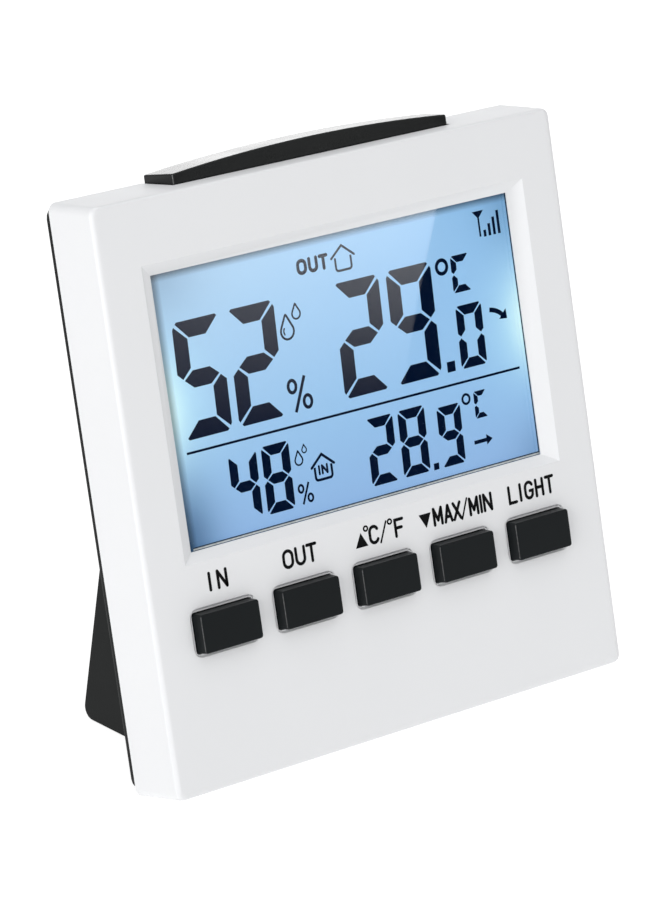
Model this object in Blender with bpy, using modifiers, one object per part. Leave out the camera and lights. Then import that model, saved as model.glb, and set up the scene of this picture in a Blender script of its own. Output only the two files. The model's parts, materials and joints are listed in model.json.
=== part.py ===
"""Desk-standing maximum and minimum thermometer with a wireless outdoor reading.

The housing is modelled in its own frame, in millimetres: x to the right along the
face, y backwards from the front face, z up along the face.  One empty leans that
frame back onto the floor plane z = 0 and turns millimetres into metres.
"""
import math

import bmesh
import bpy
from mathutils import Matrix, Vector

MM = 0.001
GAP = 0.3                      # clearance kept between neighbouring pieces
OVERSHOOT = 2.0                # how far a cutter runs past the face it opens
OVERLAP = 0.5                  # how far two joined shapes run into each other

# Housing
CASE_X = (-0.4, 93.4)          # front face
CASE_Z = (-0.25, 93.8)
CASE_D = 11.05
SIDE_DRAFT = 0.1               # the case opens out by this much towards the back
BOTTOM_DRAFT = 0.25
TOP_DRAFT = 0.75
REAR_X = (CASE_X[0] - SIDE_DRAFT, CASE_X[1] + SIDE_DRAFT)
REAR_Z = (CASE_Z[0] - BOTTOM_DRAFT, CASE_Z[1] + TOP_DRAFT)
MIDDLE_X = sum(CASE_X) / 2
LEAN = math.radians(12.69)     # the face leans back by this angle
SIDE_WALL = 2.0
BOTTOM_WALL = 1.85
TOP_WALL = 1.35
FRONT_WALL = 1.8
CASE_CORNER = 1.4
SIDE_FILLET = 1.0
TOP_FILLET = 0.4
CORNER_FACETS = 4
EDGE_FACETS = 3
NEAR = 0.01                    # tolerance when an edge is picked by its place
CASE_TOP_INSIDE = CASE_Z[1] - TOP_WALL
STANDING_MIDDLE = 21.37        # bottom front edge to the middle of the whole standing depth

# Display window and the stack of parts behind it
WINDOW_X = (10.05, 83.1)
WINDOW_Z = (37.4, 81.38)
WINDOW_FLARE_X = 2.55
WINDOW_FLARE_BOTTOM = 1.55
WINDOW_FLARE_TOP = 1.95
WINDOW_FLARE_DEPTH = 1.55
LENS_Y = (2.1, 2.9)
LENS_X = (8.4, 84.6)
LENS_Z = (36.2, 82.9)
PANEL_Y = (3.2, 5.0)
PANEL_X = (7.6, 85.4)
PANEL_Z = (35.0, 83.6)
GUIDE_Y = (5.3, 7.3)
GUIDE_X = (11.0, 82.0)
GUIDE_Z = (38.5, 82.5)
LED_LENGTH = 2.0
LED_Z = (55.0, 59.0)
REFLECTOR_Y = (7.6, 8.1)
STRIP_Z = (35.3, 37.6)
STRIP_X = (12.0, 81.0)
STRIP_Y = (5.3, 8.2)
BOARD_Y = (8.5, 9.5)
BOARD_X = (9.5, 83.5)
BOARD_Z = (31.0, 90.0)
REAR_PARTS_Y = BOARD_Y[1] + GAP
LENS_CORNER = 1.0
PANEL_CORNER = 0.3
GUIDE_CORNER = 0.5
LED_CORNER = 0.3
BOARD_CORNER = 0.8

# Parts on the rear side of the main board
CHIP_CENTRE = (40.0, 60.0)
CHIP_R = 6.0
CHIP_HEIGHT = 1.1
CHIP_EDGE = 0.9
RECEIVER_X = (56.0, 72.0)
RECEIVER_Z = (66.0, 78.0)
RECEIVER_THICK = 0.9
SENSOR_X = (77.0, 82.0)
SENSOR_Z = (70.0, 76.5)
SENSOR_THICK = 1.0
SENSOR_CORNER = 0.4
ANTENNA_R = 0.35
ANTENNA_BEND_R = 3.0
ANTENNA_X = (20.0, 64.0)
ANTENNA_Z = (78.4, 84.2)
RIBBON_X = (40.0, 52.0)
RIBBON_THICK = 0.4
RIBBON_Z = (27.4, 34.4)
RIBBON_STEP_Z = (29.5, 31.7)
BAR_SWITCH_X = (43.5, 49.5)
BAR_SWITCH_Y = (5.2, 8.2)
BAR_SWITCH_Z = (86.2, 89.4)
BAR_PLUNGER_TOP = 90.2

# Keys
KEY_NAMES = ("key_in", "key_out", "key_up_units", "key_down_max_min", "key_light")
SWITCH_NAMES = ("switch_in", "switch_out", "switch_up", "switch_down", "switch_light")
KEY_FIRST_X = 13.45
KEY_PITCH = 16.3
KEY_Z = 24.95
KEY_HALF_W = 5.9
KEY_HALF_H = 3.28
KEY_PROUD = 1.85
KEY_DRAFT = 0.15
KEY_CORNER = 0.45
KEY_EDGE = 0.15
KEY_FLANGE_Y = (2.1, 2.7)
KEY_FLANGE_X = 6.9
KEY_FLANGE_Z = 3.88
KEY_LIP = 0.35                 # chamfer around each key opening
KEY_FACETS = 3
KEY_BOARD_Y = (5.1, 5.9)
KEY_BOARD_X = (2.4, 90.6)
KEY_BOARD_Z = (21.2, 31.2)
SWITCH_BODY_Y = (3.9, 4.8)
SWITCH_HALF = (3.0, 1.75)
PLUNGER_R = 1.0
PLUNGER_FRONT = 3.4

# Light bar on top
BAR_X = (18.0, 76.0)
BAR_TAPER = 0.94               # how far each end leans in at the front
BAR_Y = (4.2, 11.0)
BAR_END_RISE = 1.45
BAR_MIDDLE_RISE = 2.75
BAR_FLANGE_Z = (91.3, 92.1)
BAR_FLANGE_LIP = 0.8
BAR_STEPS = 16
BAR_CORNER = 0.5
BAR_EDGE = 0.25

# Rear cover, battery bay and battery door
COVER_Y = (CASE_D + GAP, 13.05)
COVER_INSET = 0.6              # cover edge inside the rear edge of the case
COVER_CORNER = 2.0
COVER_CHAMFER = 0.5
COVER_LIP_X = (1.9, 3.1)
COVER_LIP_Z = (12.0, 82.0)
COVER_LIP_REACH = 1.7
HUMP_X = (15.2, 77.8)
HUMP_Z = (2.2, 50.0)
HUMP_BACK = 19.2
HUMP_WALL = 1.2
HUMP_EDGE = 0.8
BAY_X = (20.5, 72.5)
BAY_Z = (3.4, 26.2)
BAY_FLOOR_Y = (6.2, 7.05)
CELL_R = 5.25
CELL_LENGTH = 44.5
CELL_NUB_R = 1.9
CELL_NUB = 1.0
CELL_EDGE = 0.3
CELL_Y = BAY_FLOOR_Y[1] + GAP + CELL_R
CELL_LOW_Z = BAY_Z[0] + GAP + CELL_R
CELL_HIGH_Z = BAY_Z[1] - GAP - CELL_R
CONTACT_THICK = 0.5
SPRING_WIRE_R = 0.35
SPRING_TURNS = 3.5
SPRING_BIG_R = 3.8
SPRING_SMALL_R = 2.4
SPRING_STEPS = 12              # points in one turn
CONTACT_HALF = 3.5
LEAD_R = 0.5
LEAD_BEND = ((12.0, 30.0), (11.0, 31.6))
LEAD_START_Z = 28.0
LEAD_END_Z = (33.4, 37.0)
DOOR_X = (20.9, 72.1)
DOOR_Z = (2.3, 27.3)
DOOR_Y = (18.15, HUMP_BACK)
TONGUE = 0.9
TONGUE_Y = (DOOR_Y[0], 18.5)
GROOVE_BACK = 18.8
DOOR_GRIP_LINES = 5
DOOR_GRIP_X = (38.5, 54.5)
DOOR_GRIP_Z = 6.0
DOOR_GRIP_PITCH = 1.6
DOOR_GRIP_SIZE = (0.7, 0.35)   # width and depth of one line
VENT_SLOTS = 5
VENT_X = (76.6, 82.6)
VENT_Z = 69.4
VENT_PITCH = 1.9
VENT_HEIGHT = 0.9

# Stand, modelled as it lies when folded, then turned out by STAND_OPEN
STAND_OPEN = math.radians(23.5)
HINGE_Y = 19.3
HINGE_Z = 55.1
STAND_X = (12.8, 80.2)
STAND_OUTER = 2.0              # outer face, measured from the hinge axis
STAND_THICK = 1.8
STAND_LENGTH = 53.75           # hinge axis to the foot's outer corner
CHEEK_THICK = 1.6
CHEEK_REACH = 10.5
CHEEK_START = 20.0
FOOT_ROUND = 1.9
TOE_CHAMFER = 1.0
BARREL_R = 1.95
BARREL_X = (19.5, 73.5)
PLATE_SHOULDER = 2.6
PIN_R = 0.95
PIN_SUNK = 0.2
BORE_R = 1.25
EAR_X = ((15.7, 19.2), (73.8, 77.3))
EAR_R = 2.0
SLOT_Z = (2.2, 18.6)

# Fasteners: x and z of each screw
CASE_SCREWS = ((6.0, 6.0), (87.0, 6.0), (6.0, 88.0), (87.0, 88.0))
BOARD_SCREWS = ((12.0, 33.1), (81.0, 33.1), (13.0, 87.0), (80.0, 87.0))
KEY_BOARD_SCREWS = ((4.2, 25.2), (88.8, 25.2))
CASE_BOSS_R = 2.4
CASE_HOLE_R = 1.2
CASE_SHANK_R = 0.85
CASE_HEAD_R = 2.0
CASE_HEAD_Y = (12.35, 13.05)
PILOT_FLOOR = 1.0              # solid left between the front wall and a screw hole
SMALL_BOSS_R = 1.5
SMALL_HOLE_R = 0.9
SMALL_SHANK_R = 0.6
SMALL_HEAD_R = 1.4
SMALL_HEAD = 0.8
CROSS_WIDTH = 0.5
CROSS_DEPTH = 0.4
CROSS_SHARE = 0.65             # reach of the cross as a share of the head's radius
SCREW_BITE = 2.0               # how far behind the front wall a long screw ends
KEY_SCREW_BITE = 1.5

SIDES = 24                     # facets of a round part
SMALL_SIDES = 16

# Colour, roughness and metallic value of each finish
FINISH = {
    "white_shell": ((0.78, 0.80, 0.82), 0.42, 0.0),
    "black_shell": ((0.022, 0.023, 0.024), 0.45, 0.0),
    "black_key": ((0.018, 0.020, 0.021), 0.38, 0.0),
    "clear": ((0.90, 0.94, 0.97), 0.05, 0.0),
    "display": ((0.35, 0.58, 0.80), 0.15, 0.0),
    "guide": ((0.85, 0.92, 0.98), 0.20, 0.0),
    "reflector": ((0.93, 0.93, 0.93), 0.30, 0.0),
    "led": ((0.95, 0.93, 0.70), 0.30, 0.0),
    "rubber": ((0.30, 0.30, 0.32), 0.80, 0.0),
    "board": ((0.05, 0.22, 0.09), 0.45, 0.0),
    "epoxy": ((0.015, 0.015, 0.015), 0.35, 0.0),
    "steel": ((0.62, 0.62, 0.64), 0.30, 1.0),
    "brass": ((0.72, 0.56, 0.25), 0.35, 1.0),
    "cell": ((0.10, 0.25, 0.40), 0.35, 0.0),
    "red_wire": ((0.50, 0.02, 0.02), 0.45, 0.0),
    "black_wire": ((0.02, 0.02, 0.02), 0.45, 0.0),
    "grey_ribbon": ((0.45, 0.46, 0.48), 0.55, 0.0),
}


def clear_scene():
    for old in list(bpy.data.objects):
        bpy.data.objects.remove(old, do_unlink=True)


def new_collection(name):
    collection = bpy.data.collections.new(name)
    bpy.context.scene.collection.children.link(collection)
    return collection


def housing_frame(collection):
    """The empty that leans the housing back until its bottom rear edge meets z = 0."""
    lift = CASE_D * math.sin(LEAN) - REAR_Z[0] * math.cos(LEAN)
    empty = bpy.data.objects.new("housing_frame", None)
    empty.rotation_euler = (-LEAN, 0.0, 0.0)
    empty.location = (-MIDDLE_X * MM, -STANDING_MIDDLE * MM, lift * MM)
    collection.objects.link(empty)
    return empty


clear_scene()
PARTS = new_collection("maximum_minimum_thermometer")
CUTTERS = new_collection("cutters")
HOUSING = housing_frame(PARTS)


def finish_material(node, finish):
    colour, roughness, metallic = FINISH[finish]
    material = bpy.data.materials.new(node + "_material")
    material.use_nodes = True
    shader = material.node_tree.nodes["Principled BSDF"]
    shader.inputs["Base Color"].default_value = (*colour, 1.0)
    shader.inputs["Roughness"].default_value = roughness
    shader.inputs["Metallic"].default_value = metallic
    return material


def to_mesh(bm, name, origin):
    """Write a millimetre bmesh to a metre mesh whose origin is at the given point."""
    bm.transform(Matrix.Scale(MM, 4) @ Matrix.Translation(-Vector(origin)))
    mesh = bpy.data.meshes.new(name)
    bm.to_mesh(mesh)
    bm.free()
    mesh.shade_smooth()
    mesh.set_sharp_from_angle(angle=math.radians(30))
    return mesh


def add_node(name, bm, finish, origin=(0.0, 0.0, 0.0), turn=(0.0, 0.0, 0.0)):
    """One named piece.  Its shape is given in the housing frame, before any turn."""
    node = bpy.data.objects.new(name, to_mesh(bm, name, origin))
    node.location = Vector(origin) * MM
    node.rotation_euler = turn
    node.parent = HOUSING
    node.data.materials.append(finish_material(name, finish))
    PARTS.objects.link(node)
    return node


def combine(target, bm, operation, label):
    """Join (UNION) or cut (DIFFERENCE) the target with a hidden tool shape."""
    origin = target.location / MM
    tool = bpy.data.objects.new(target.name + "_" + label, to_mesh(bm, label, origin))
    tool.location = target.location
    tool.rotation_euler = target.rotation_euler
    tool.parent = HOUSING
    tool.hide_render = True
    tool.display_type = 'WIRE'
    CUTTERS.objects.link(tool)
    step = target.modifiers.new(label, 'BOOLEAN')
    step.operation = operation
    step.object = tool
    step.solver = 'EXACT'


def join(target, bm, label):
    combine(target, bm, 'UNION', label)


def cut(target, bm, label):
    combine(target, bm, 'DIFFERENCE', label)


def block(bm, xs, ys, zs):
    """A box between the given limits."""
    low = Vector((xs[0], ys[0], zs[0]))
    high = Vector((xs[1], ys[1], zs[1]))
    place = Matrix.Translation((low + high) / 2) @ Matrix.Diagonal((*(high - low), 1.0))
    return bmesh.ops.create_cube(bm, size=1.0, matrix=place)["verts"]


def tapered_block(bm, xs, ys, zs, grow_x, grow_low, grow_high):
    """A box whose back face is larger than its front face by the given amounts."""
    for vert in block(bm, xs, ys, zs):
        if vert.co.y > sum(ys) / 2:
            vert.co.x += grow_x if vert.co.x > sum(xs) / 2 else -grow_x
            vert.co.z += grow_high if vert.co.z > sum(zs) / 2 else -grow_low


def shapes(*boxes):
    """A bmesh holding one plain box for each (xs, ys, zs)."""
    bm = bmesh.new()
    for xs, ys, zs in boxes:
        block(bm, xs, ys, zs)
    return bm


def rod(bm, axis, centre, radius, span, sides=SMALL_SIDES):
    """A cylinder along one axis; centre is its place on the other two axes."""
    low, high = span
    turns = {'x': Matrix.Rotation(math.pi / 2, 4, 'Y'), 'y': Matrix.Rotation(-math.pi / 2, 4, 'X'),
             'z': Matrix.Identity(4)}
    middle = (low + high) / 2
    a, b = centre
    places = {'x': (middle, a, b), 'y': (a, middle, b), 'z': (a, b, middle)}
    bmesh.ops.create_cone(bm, cap_ends=True, segments=sides, radius1=radius, radius2=radius,
                          depth=high - low, matrix=Matrix.Translation(places[axis]) @ turns[axis])


def rods(axis, centres, radius, span, sides=SMALL_SIDES):
    bm = bmesh.new()
    for centre in centres:
        rod(bm, axis, centre, radius, span, sides)
    return bm


def round_edges(bm, radius, segments, chosen):
    """Round the edges for which chosen(direction, middle) is true."""
    picked = []
    for edge in bm.edges:
        start, end = (vert.co for vert in edge.verts)
        if chosen((end - start).normalized(), (start + end) / 2):
            picked.append(edge)
    bmesh.ops.bevel(bm, geom=picked, offset=radius, offset_type='OFFSET', segments=segments,
                    profile=0.5, affect='EDGES')


def outline_prism(points, xs):
    """A flat (y, z) outline, extruded along x and welded into one closed mesh."""
    curve = bpy.data.curves.new("outline", 'CURVE')
    curve.dimensions = '2D'
    curve.fill_mode = 'BOTH'
    curve.extrude = (xs[1] - xs[0]) / 2
    spline = curve.splines.new('POLY')
    spline.points.add(len(points) - 1)
    for point, (y, z) in zip(spline.points, points):
        point.co = (y, z, 0.0, 1.0)
    spline.use_cyclic_u = True
    flat = bpy.data.objects.new("outline", curve)
    CUTTERS.objects.link(flat)
    evaluated = flat.evaluated_get(bpy.context.evaluated_depsgraph_get())
    mesh = bpy.data.meshes.new_from_object(evaluated)
    bm = bmesh.new()
    bm.from_mesh(mesh)
    bpy.data.objects.remove(flat)
    bpy.data.meshes.remove(mesh)
    bmesh.ops.remove_doubles(bm, verts=bm.verts, dist=0.001)
    upright = Matrix(((0, 0, 1, (xs[0] + xs[1]) / 2), (1, 0, 0, 0), (0, 1, 0, 0), (0, 0, 0, 1)))
    bm.transform(upright)
    return bm


def wire(name, points, radius, finish):
    """A round wire through the given points, in the housing frame."""
    curve = bpy.data.curves.new(name, 'CURVE')
    curve.dimensions = '3D'
    curve.bevel_depth = radius * MM
    curve.bevel_resolution = 2
    curve.use_fill_caps = True
    spline = curve.splines.new('POLY')
    spline.points.add(len(points) - 1)
    for point, place in zip(spline.points, points):
        point.co = (*(Vector(place) * MM), 1.0)
    node = bpy.data.objects.new(name, curve)
    node.parent = HOUSING
    curve.materials.append(finish_material(name, finish))
    PARTS.objects.link(node)


def runs_back(way, middle):
    """True on an edge that runs from front to back."""
    return abs(way.y) > 0.9


def through(span):
    """A cutter's reach, a little past both ends of a span."""
    return span[0] - OVERSHOOT, span[1] + OVERSHOOT


def key_x(index):
    return KEY_FIRST_X + KEY_PITCH * index


def key_passage(bm, index, grow, ys, taper=0.0):
    """Add a rounded cutter for one key opening; it narrows towards the back by taper."""
    hole = bmesh.new()
    x = key_x(index)
    reach_x = KEY_HALF_W + GAP + grow
    reach_z = KEY_HALF_H + GAP + grow
    tapered_block(hole, (x - reach_x, x + reach_x), ys, (KEY_Z - reach_z, KEY_Z + reach_z),
                  -taper, -taper, -taper)
    round_edges(hole, KEY_CORNER + grow, KEY_FACETS, lambda way, middle: abs(way.y) > 0.4)
    spare = bpy.data.meshes.new("passage")
    hole.to_mesh(spare)
    hole.free()
    bm.from_mesh(spare)
    bpy.data.meshes.remove(spare)


def weigh_front_edges(bm):
    """Share of the side fillet on each front edge: all of it on the upright edges."""
    weights = bm.edges.layers.float.new("bevel_weight_edge")
    least = TOP_FILLET / SIDE_FILLET
    for edge in bm.edges:
        start, end = (vert.co for vert in edge.verts)
        if abs(start.y) < NEAR and abs(end.y) < NEAR:
            edge[weights] = least + (1 - least) * abs((end - start).normalized().z)


def front_case():
    """The white front shell: draft, window recess, key openings and screw bosses."""
    body = bmesh.new()
    tapered_block(body, CASE_X, (0.0, CASE_D), CASE_Z, SIDE_DRAFT, BOTTOM_DRAFT, TOP_DRAFT)
    round_edges(body, CASE_CORNER, CORNER_FACETS, runs_back)
    weigh_front_edges(body)
    case = add_node("front_case", body, "white_shell")
    fillet = case.modifiers.new("fillet", 'BEVEL')
    fillet.limit_method = 'WEIGHT'
    fillet.width = SIDE_FILLET * MM
    fillet.segments = EDGE_FACETS
    cut(case, shapes(((CASE_X[0] + SIDE_WALL, CASE_X[1] - SIDE_WALL),
                      (FRONT_WALL, CASE_D + OVERSHOOT),
                      (CASE_Z[0] + BOTTOM_WALL, CASE_TOP_INSIDE))), "inside")

    slope = WINDOW_FLARE_X / WINDOW_FLARE_DEPTH
    flares = bmesh.new()
    tapered_block(flares, (WINDOW_X[0] - 2 * WINDOW_FLARE_X, WINDOW_X[1] + 2 * WINDOW_FLARE_X),
                  (-WINDOW_FLARE_DEPTH, WINDOW_FLARE_DEPTH),
                  (WINDOW_Z[0] - 2 * WINDOW_FLARE_BOTTOM, WINDOW_Z[1] + 2 * WINDOW_FLARE_TOP),
                  -2 * slope * WINDOW_FLARE_DEPTH, -2 * WINDOW_FLARE_BOTTOM, -2 * WINDOW_FLARE_TOP)
    for index in range(len(KEY_NAMES)):
        key_passage(flares, index, 2 * KEY_LIP, (-KEY_LIP, KEY_LIP), 2 * KEY_LIP)
    cut(case, flares, "flares")

    openings = shapes((WINDOW_X, (OVERLAP, FRONT_WALL + OVERSHOOT), WINDOW_Z))
    slot_y = (BAR_Y[0] - GAP, CASE_D + OVERSHOOT)
    widening = BAR_TAPER * (slot_y[1] - slot_y[0]) / (BAR_Y[1] - BAR_Y[0])
    tapered_block(openings, (BAR_X[0] + BAR_TAPER - GAP, BAR_X[1] - BAR_TAPER + GAP), slot_y,
                  (CASE_TOP_INSIDE - OVERSHOOT, CASE_Z[1] + OVERSHOOT), widening, 0.0, 0.0)
    for index in range(len(KEY_NAMES)):
        key_passage(openings, index, 0.0, (-OVERLAP, FRONT_WALL + OVERSHOOT))
    cut(case, openings, "openings")

    inside_wall = FRONT_WALL - OVERLAP
    bosses = rods('y', CASE_SCREWS, CASE_BOSS_R, (inside_wall, COVER_Y[0] - 2 * GAP))
    for centre in BOARD_SCREWS:
        rod(bosses, 'y', centre, SMALL_BOSS_R, (inside_wall, BOARD_Y[0] - GAP))
    for centre in KEY_BOARD_SCREWS:
        rod(bosses, 'y', centre, SMALL_BOSS_R, (inside_wall, KEY_BOARD_Y[0] - GAP))
    join(case, bosses, "bosses")

    pilot = (FRONT_WALL + PILOT_FLOOR, CASE_D + OVERSHOOT)
    holes = rods('y', CASE_SCREWS, CASE_HOLE_R, pilot)
    for centre in BOARD_SCREWS + KEY_BOARD_SCREWS:
        rod(holes, 'y', centre, SMALL_HOLE_R, pilot)
    cut(case, holes, "pilot_holes")


def plate(name, xs, ys, zs, finish, edge=0.0):
    """A plain slab, with its outline edges eased when edge is given."""
    bm = shapes((xs, ys, zs))
    if edge:
        round_edges(bm, edge, 1, runs_back)
    return add_node(name, bm, finish)


def display_stack():
    """Lens, liquid-crystal panel, backlight and the strip that joins panel and board."""
    plate("window_lens", LENS_X, LENS_Y, LENS_Z, "clear", LENS_CORNER)
    plate("lcd_panel", PANEL_X, PANEL_Y, PANEL_Z, "display", PANEL_CORNER)
    plate("light_guide", GUIDE_X, GUIDE_Y, GUIDE_Z, "guide", GUIDE_CORNER)
    plate("reflector_sheet", GUIDE_X, REFLECTOR_Y, GUIDE_Z, "reflector")
    for name, near_end in (("led_left", GUIDE_X[0] - GAP - LED_LENGTH),
                           ("led_right", GUIDE_X[1] + GAP)):
        plate(name, (near_end, near_end + LED_LENGTH), GUIDE_Y, LED_Z, "led", LED_CORNER)
    plate("zebra_strip", STRIP_X, STRIP_Y, STRIP_Z, "rubber")


def main_board():
    """The main circuit board and the parts on its rear side."""
    board = plate("main_board", BOARD_X, BOARD_Y, BOARD_Z, "board", BOARD_CORNER)
    cut(board, rods('y', BOARD_SCREWS, SMALL_HOLE_R, through(BOARD_Y)), "holes")

    chip = bmesh.new()
    chip_back = REAR_PARTS_Y + CHIP_HEIGHT
    rod(chip, 'y', CHIP_CENTRE, CHIP_R, (REAR_PARTS_Y, chip_back), SIDES)
    round_edges(chip, CHIP_EDGE, EDGE_FACETS, lambda way, middle: middle.y > chip_back - NEAR)
    add_node("chip_cover", chip, "epoxy")

    plate("receiver_module", RECEIVER_X, (REAR_PARTS_Y, REAR_PARTS_Y + RECEIVER_THICK),
          RECEIVER_Z, "board", SENSOR_CORNER)
    wire("antenna", antenna_route(), ANTENNA_R, "brass")
    plate("humidity_sensor", SENSOR_X, (REAR_PARTS_Y, REAR_PARTS_Y + SENSOR_THICK), SENSOR_Z,
          "reflector", SENSOR_CORNER)
    ribbon_cable()
    bar_switch()


def arc(centre, radius, start, end, steps):
    """Points of an arc in a plane, angles in degrees."""
    points = []
    for step in range(steps + 1):
        angle = math.radians(start + (end - start) * step / steps)
        points.append((centre[0] + radius * math.cos(angle), centre[1] + radius * math.sin(angle)))
    return points


def antenna_route():
    """Up from the receiver, round a bend, then along the top of the board."""
    level = REAR_PARTS_Y + RECEIVER_THICK / 2
    centre = (ANTENNA_X[1] - ANTENNA_BEND_R, ANTENNA_Z[1] - ANTENNA_BEND_R)
    bend = [(x, level, z) for x, z in arc(centre, ANTENNA_BEND_R, 0, 90, 5)]
    return [(ANTENNA_X[1], level, ANTENNA_Z[0])] + bend + [(ANTENNA_X[0], level, ANTENNA_Z[1])]


def ribbon_cable():
    """A flat cable that steps back from the key board to the main board."""
    front = KEY_BOARD_Y[1] + GAP
    drop = BOARD_Y[0] - GAP - RIBBON_THICK
    low, high = RIBBON_Z
    step_low, step_high = RIBBON_STEP_Z
    slip = RIBBON_THICK / 4
    outline = [(front, low), (front + RIBBON_THICK, low), (front + RIBBON_THICK, step_low - slip),
               (drop + RIBBON_THICK, step_high - slip), (drop + RIBBON_THICK, high),
               (drop, high), (drop, step_high + slip), (front, step_low + slip)]
    add_node("ribbon_cable", outline_prism(outline, RIBBON_X), "grey_ribbon")


def bar_switch():
    """The switch under the middle of the light bar."""
    switch = add_node("bar_switch", shapes((BAR_SWITCH_X, BAR_SWITCH_Y, BAR_SWITCH_Z)), "epoxy")
    centre = (sum(BAR_SWITCH_X) / 2, sum(BAR_SWITCH_Y) / 2)
    join(switch, rods('z', [centre], PLUNGER_R, (BAR_SWITCH_Z[1] - OVERLAP, BAR_PLUNGER_TOP)),
         "plunger")


def key_row():
    """The key board with its switches, and the five keys in front of it."""
    board = plate("key_board", KEY_BOARD_X, KEY_BOARD_Y, KEY_BOARD_Z, "board", BOARD_CORNER)
    cut(board, rods('y', KEY_BOARD_SCREWS, SMALL_HOLE_R, through(KEY_BOARD_Y)), "holes")
    for index, (key_name, switch_name) in enumerate(zip(KEY_NAMES, SWITCH_NAMES)):
        x = key_x(index)
        switch = add_node(switch_name, shapes(((x - SWITCH_HALF[0], x + SWITCH_HALF[0]),
                                               SWITCH_BODY_Y,
                                               (KEY_Z - SWITCH_HALF[1], KEY_Z + SWITCH_HALF[1]))),
                          "steel")
        join(switch, rods('y', [(x, KEY_Z)], PLUNGER_R,
                          (PLUNGER_FRONT, SWITCH_BODY_Y[0] + OVERLAP)), "plunger")
        key(key_name, x)


def key(name, x):
    """One key: a drafted cap through the front wall and a flange behind it."""
    cap = bmesh.new()
    tapered_block(cap, (x - KEY_HALF_W + KEY_DRAFT, x + KEY_HALF_W - KEY_DRAFT),
                  (-KEY_PROUD, KEY_FLANGE_Y[0] + OVERLAP / 2),
                  (KEY_Z - KEY_HALF_H + KEY_DRAFT, KEY_Z + KEY_HALF_H - KEY_DRAFT),
                  KEY_DRAFT, KEY_DRAFT, KEY_DRAFT)
    round_edges(cap, KEY_CORNER, KEY_FACETS, runs_back)
    round_edges(cap, KEY_EDGE, 2, lambda way, middle: abs(middle.y + KEY_PROUD) < NEAR)
    node = add_node(name, cap, "black_key", origin=(x, 0.0, KEY_Z))
    join(node, shapes(((x - KEY_FLANGE_X, x + KEY_FLANGE_X), KEY_FLANGE_Y,
                       (KEY_Z - KEY_FLANGE_Z, KEY_Z + KEY_FLANGE_Z))), "flange")


def bar_top(x):
    """Height of the bar's arched top at x."""
    middle = sum(BAR_X) / 2
    half = (BAR_X[1] - BAR_X[0]) / 2
    fall = (BAR_MIDDLE_RISE - BAR_END_RISE) * ((x - middle) / half) ** 2
    case_top = CASE_Z[1] + TOP_DRAFT * sum(BAR_Y) / 2 / CASE_D
    return case_top + BAR_MIDDLE_RISE - fall


def light_bar():
    """The arched press bar on top, with its flange under the top wall."""
    bm = bmesh.new()
    block(bm, BAR_X, BAR_Y, (sum(BAR_FLANGE_Z) / 2, CASE_Z[1] + BAR_END_RISE))
    long_edges = [edge for edge in bm.edges
                  if abs(edge.verts[0].co.x - edge.verts[1].co.x) > 1.0]
    bmesh.ops.subdivide_edges(bm, edges=long_edges, cuts=BAR_STEPS - 1, use_grid_fill=True)
    for vert in bm.verts:
        if vert.co.z > CASE_Z[1]:
            vert.co.z = bar_top(vert.co.x)
    round_edges(bm, BAR_CORNER, 2, on_bar_corner)
    round_edges(bm, BAR_EDGE, 2, on_bar_rim)
    middle = sum(BAR_X) / 2
    for vert in bm.verts:
        share = (BAR_Y[1] - vert.co.y) / (BAR_Y[1] - BAR_Y[0])
        vert.co.x += (middle - vert.co.x) * share * BAR_TAPER / (middle - BAR_X[0])
    origin = (middle, sum(BAR_Y) / 2, BAR_FLANGE_Z[1])
    bar = add_node("light_bar", bm, "black_key", origin=origin)
    join(bar, shapes(((BAR_X[0] - BAR_FLANGE_LIP, BAR_X[1] + BAR_FLANGE_LIP),
                      (BAR_Y[0] - BAR_FLANGE_LIP, BAR_Y[1] - GAP), BAR_FLANGE_Z)), "flange")


def on_bar_corner(way, middle):
    """True on the four upright corner edges of the bar."""
    return abs(way.z) > 0.9 and min(abs(middle.x - BAR_X[0]), abs(middle.x - BAR_X[1])) < NEAR


def on_bar_rim(way, middle):
    """True on the outer rim of the arched top, false on the lines across it."""
    high = middle.z > CASE_Z[1] + BAR_END_RISE / 2
    near_side = min(abs(middle.y - BAR_Y[0]), abs(middle.y - BAR_Y[1])) < 0.2
    near_end = min(abs(middle.x - BAR_X[0]), abs(middle.x - BAR_X[1])) < 0.2
    return high and abs(way.z) < 0.9 and (near_side or near_end)


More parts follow.
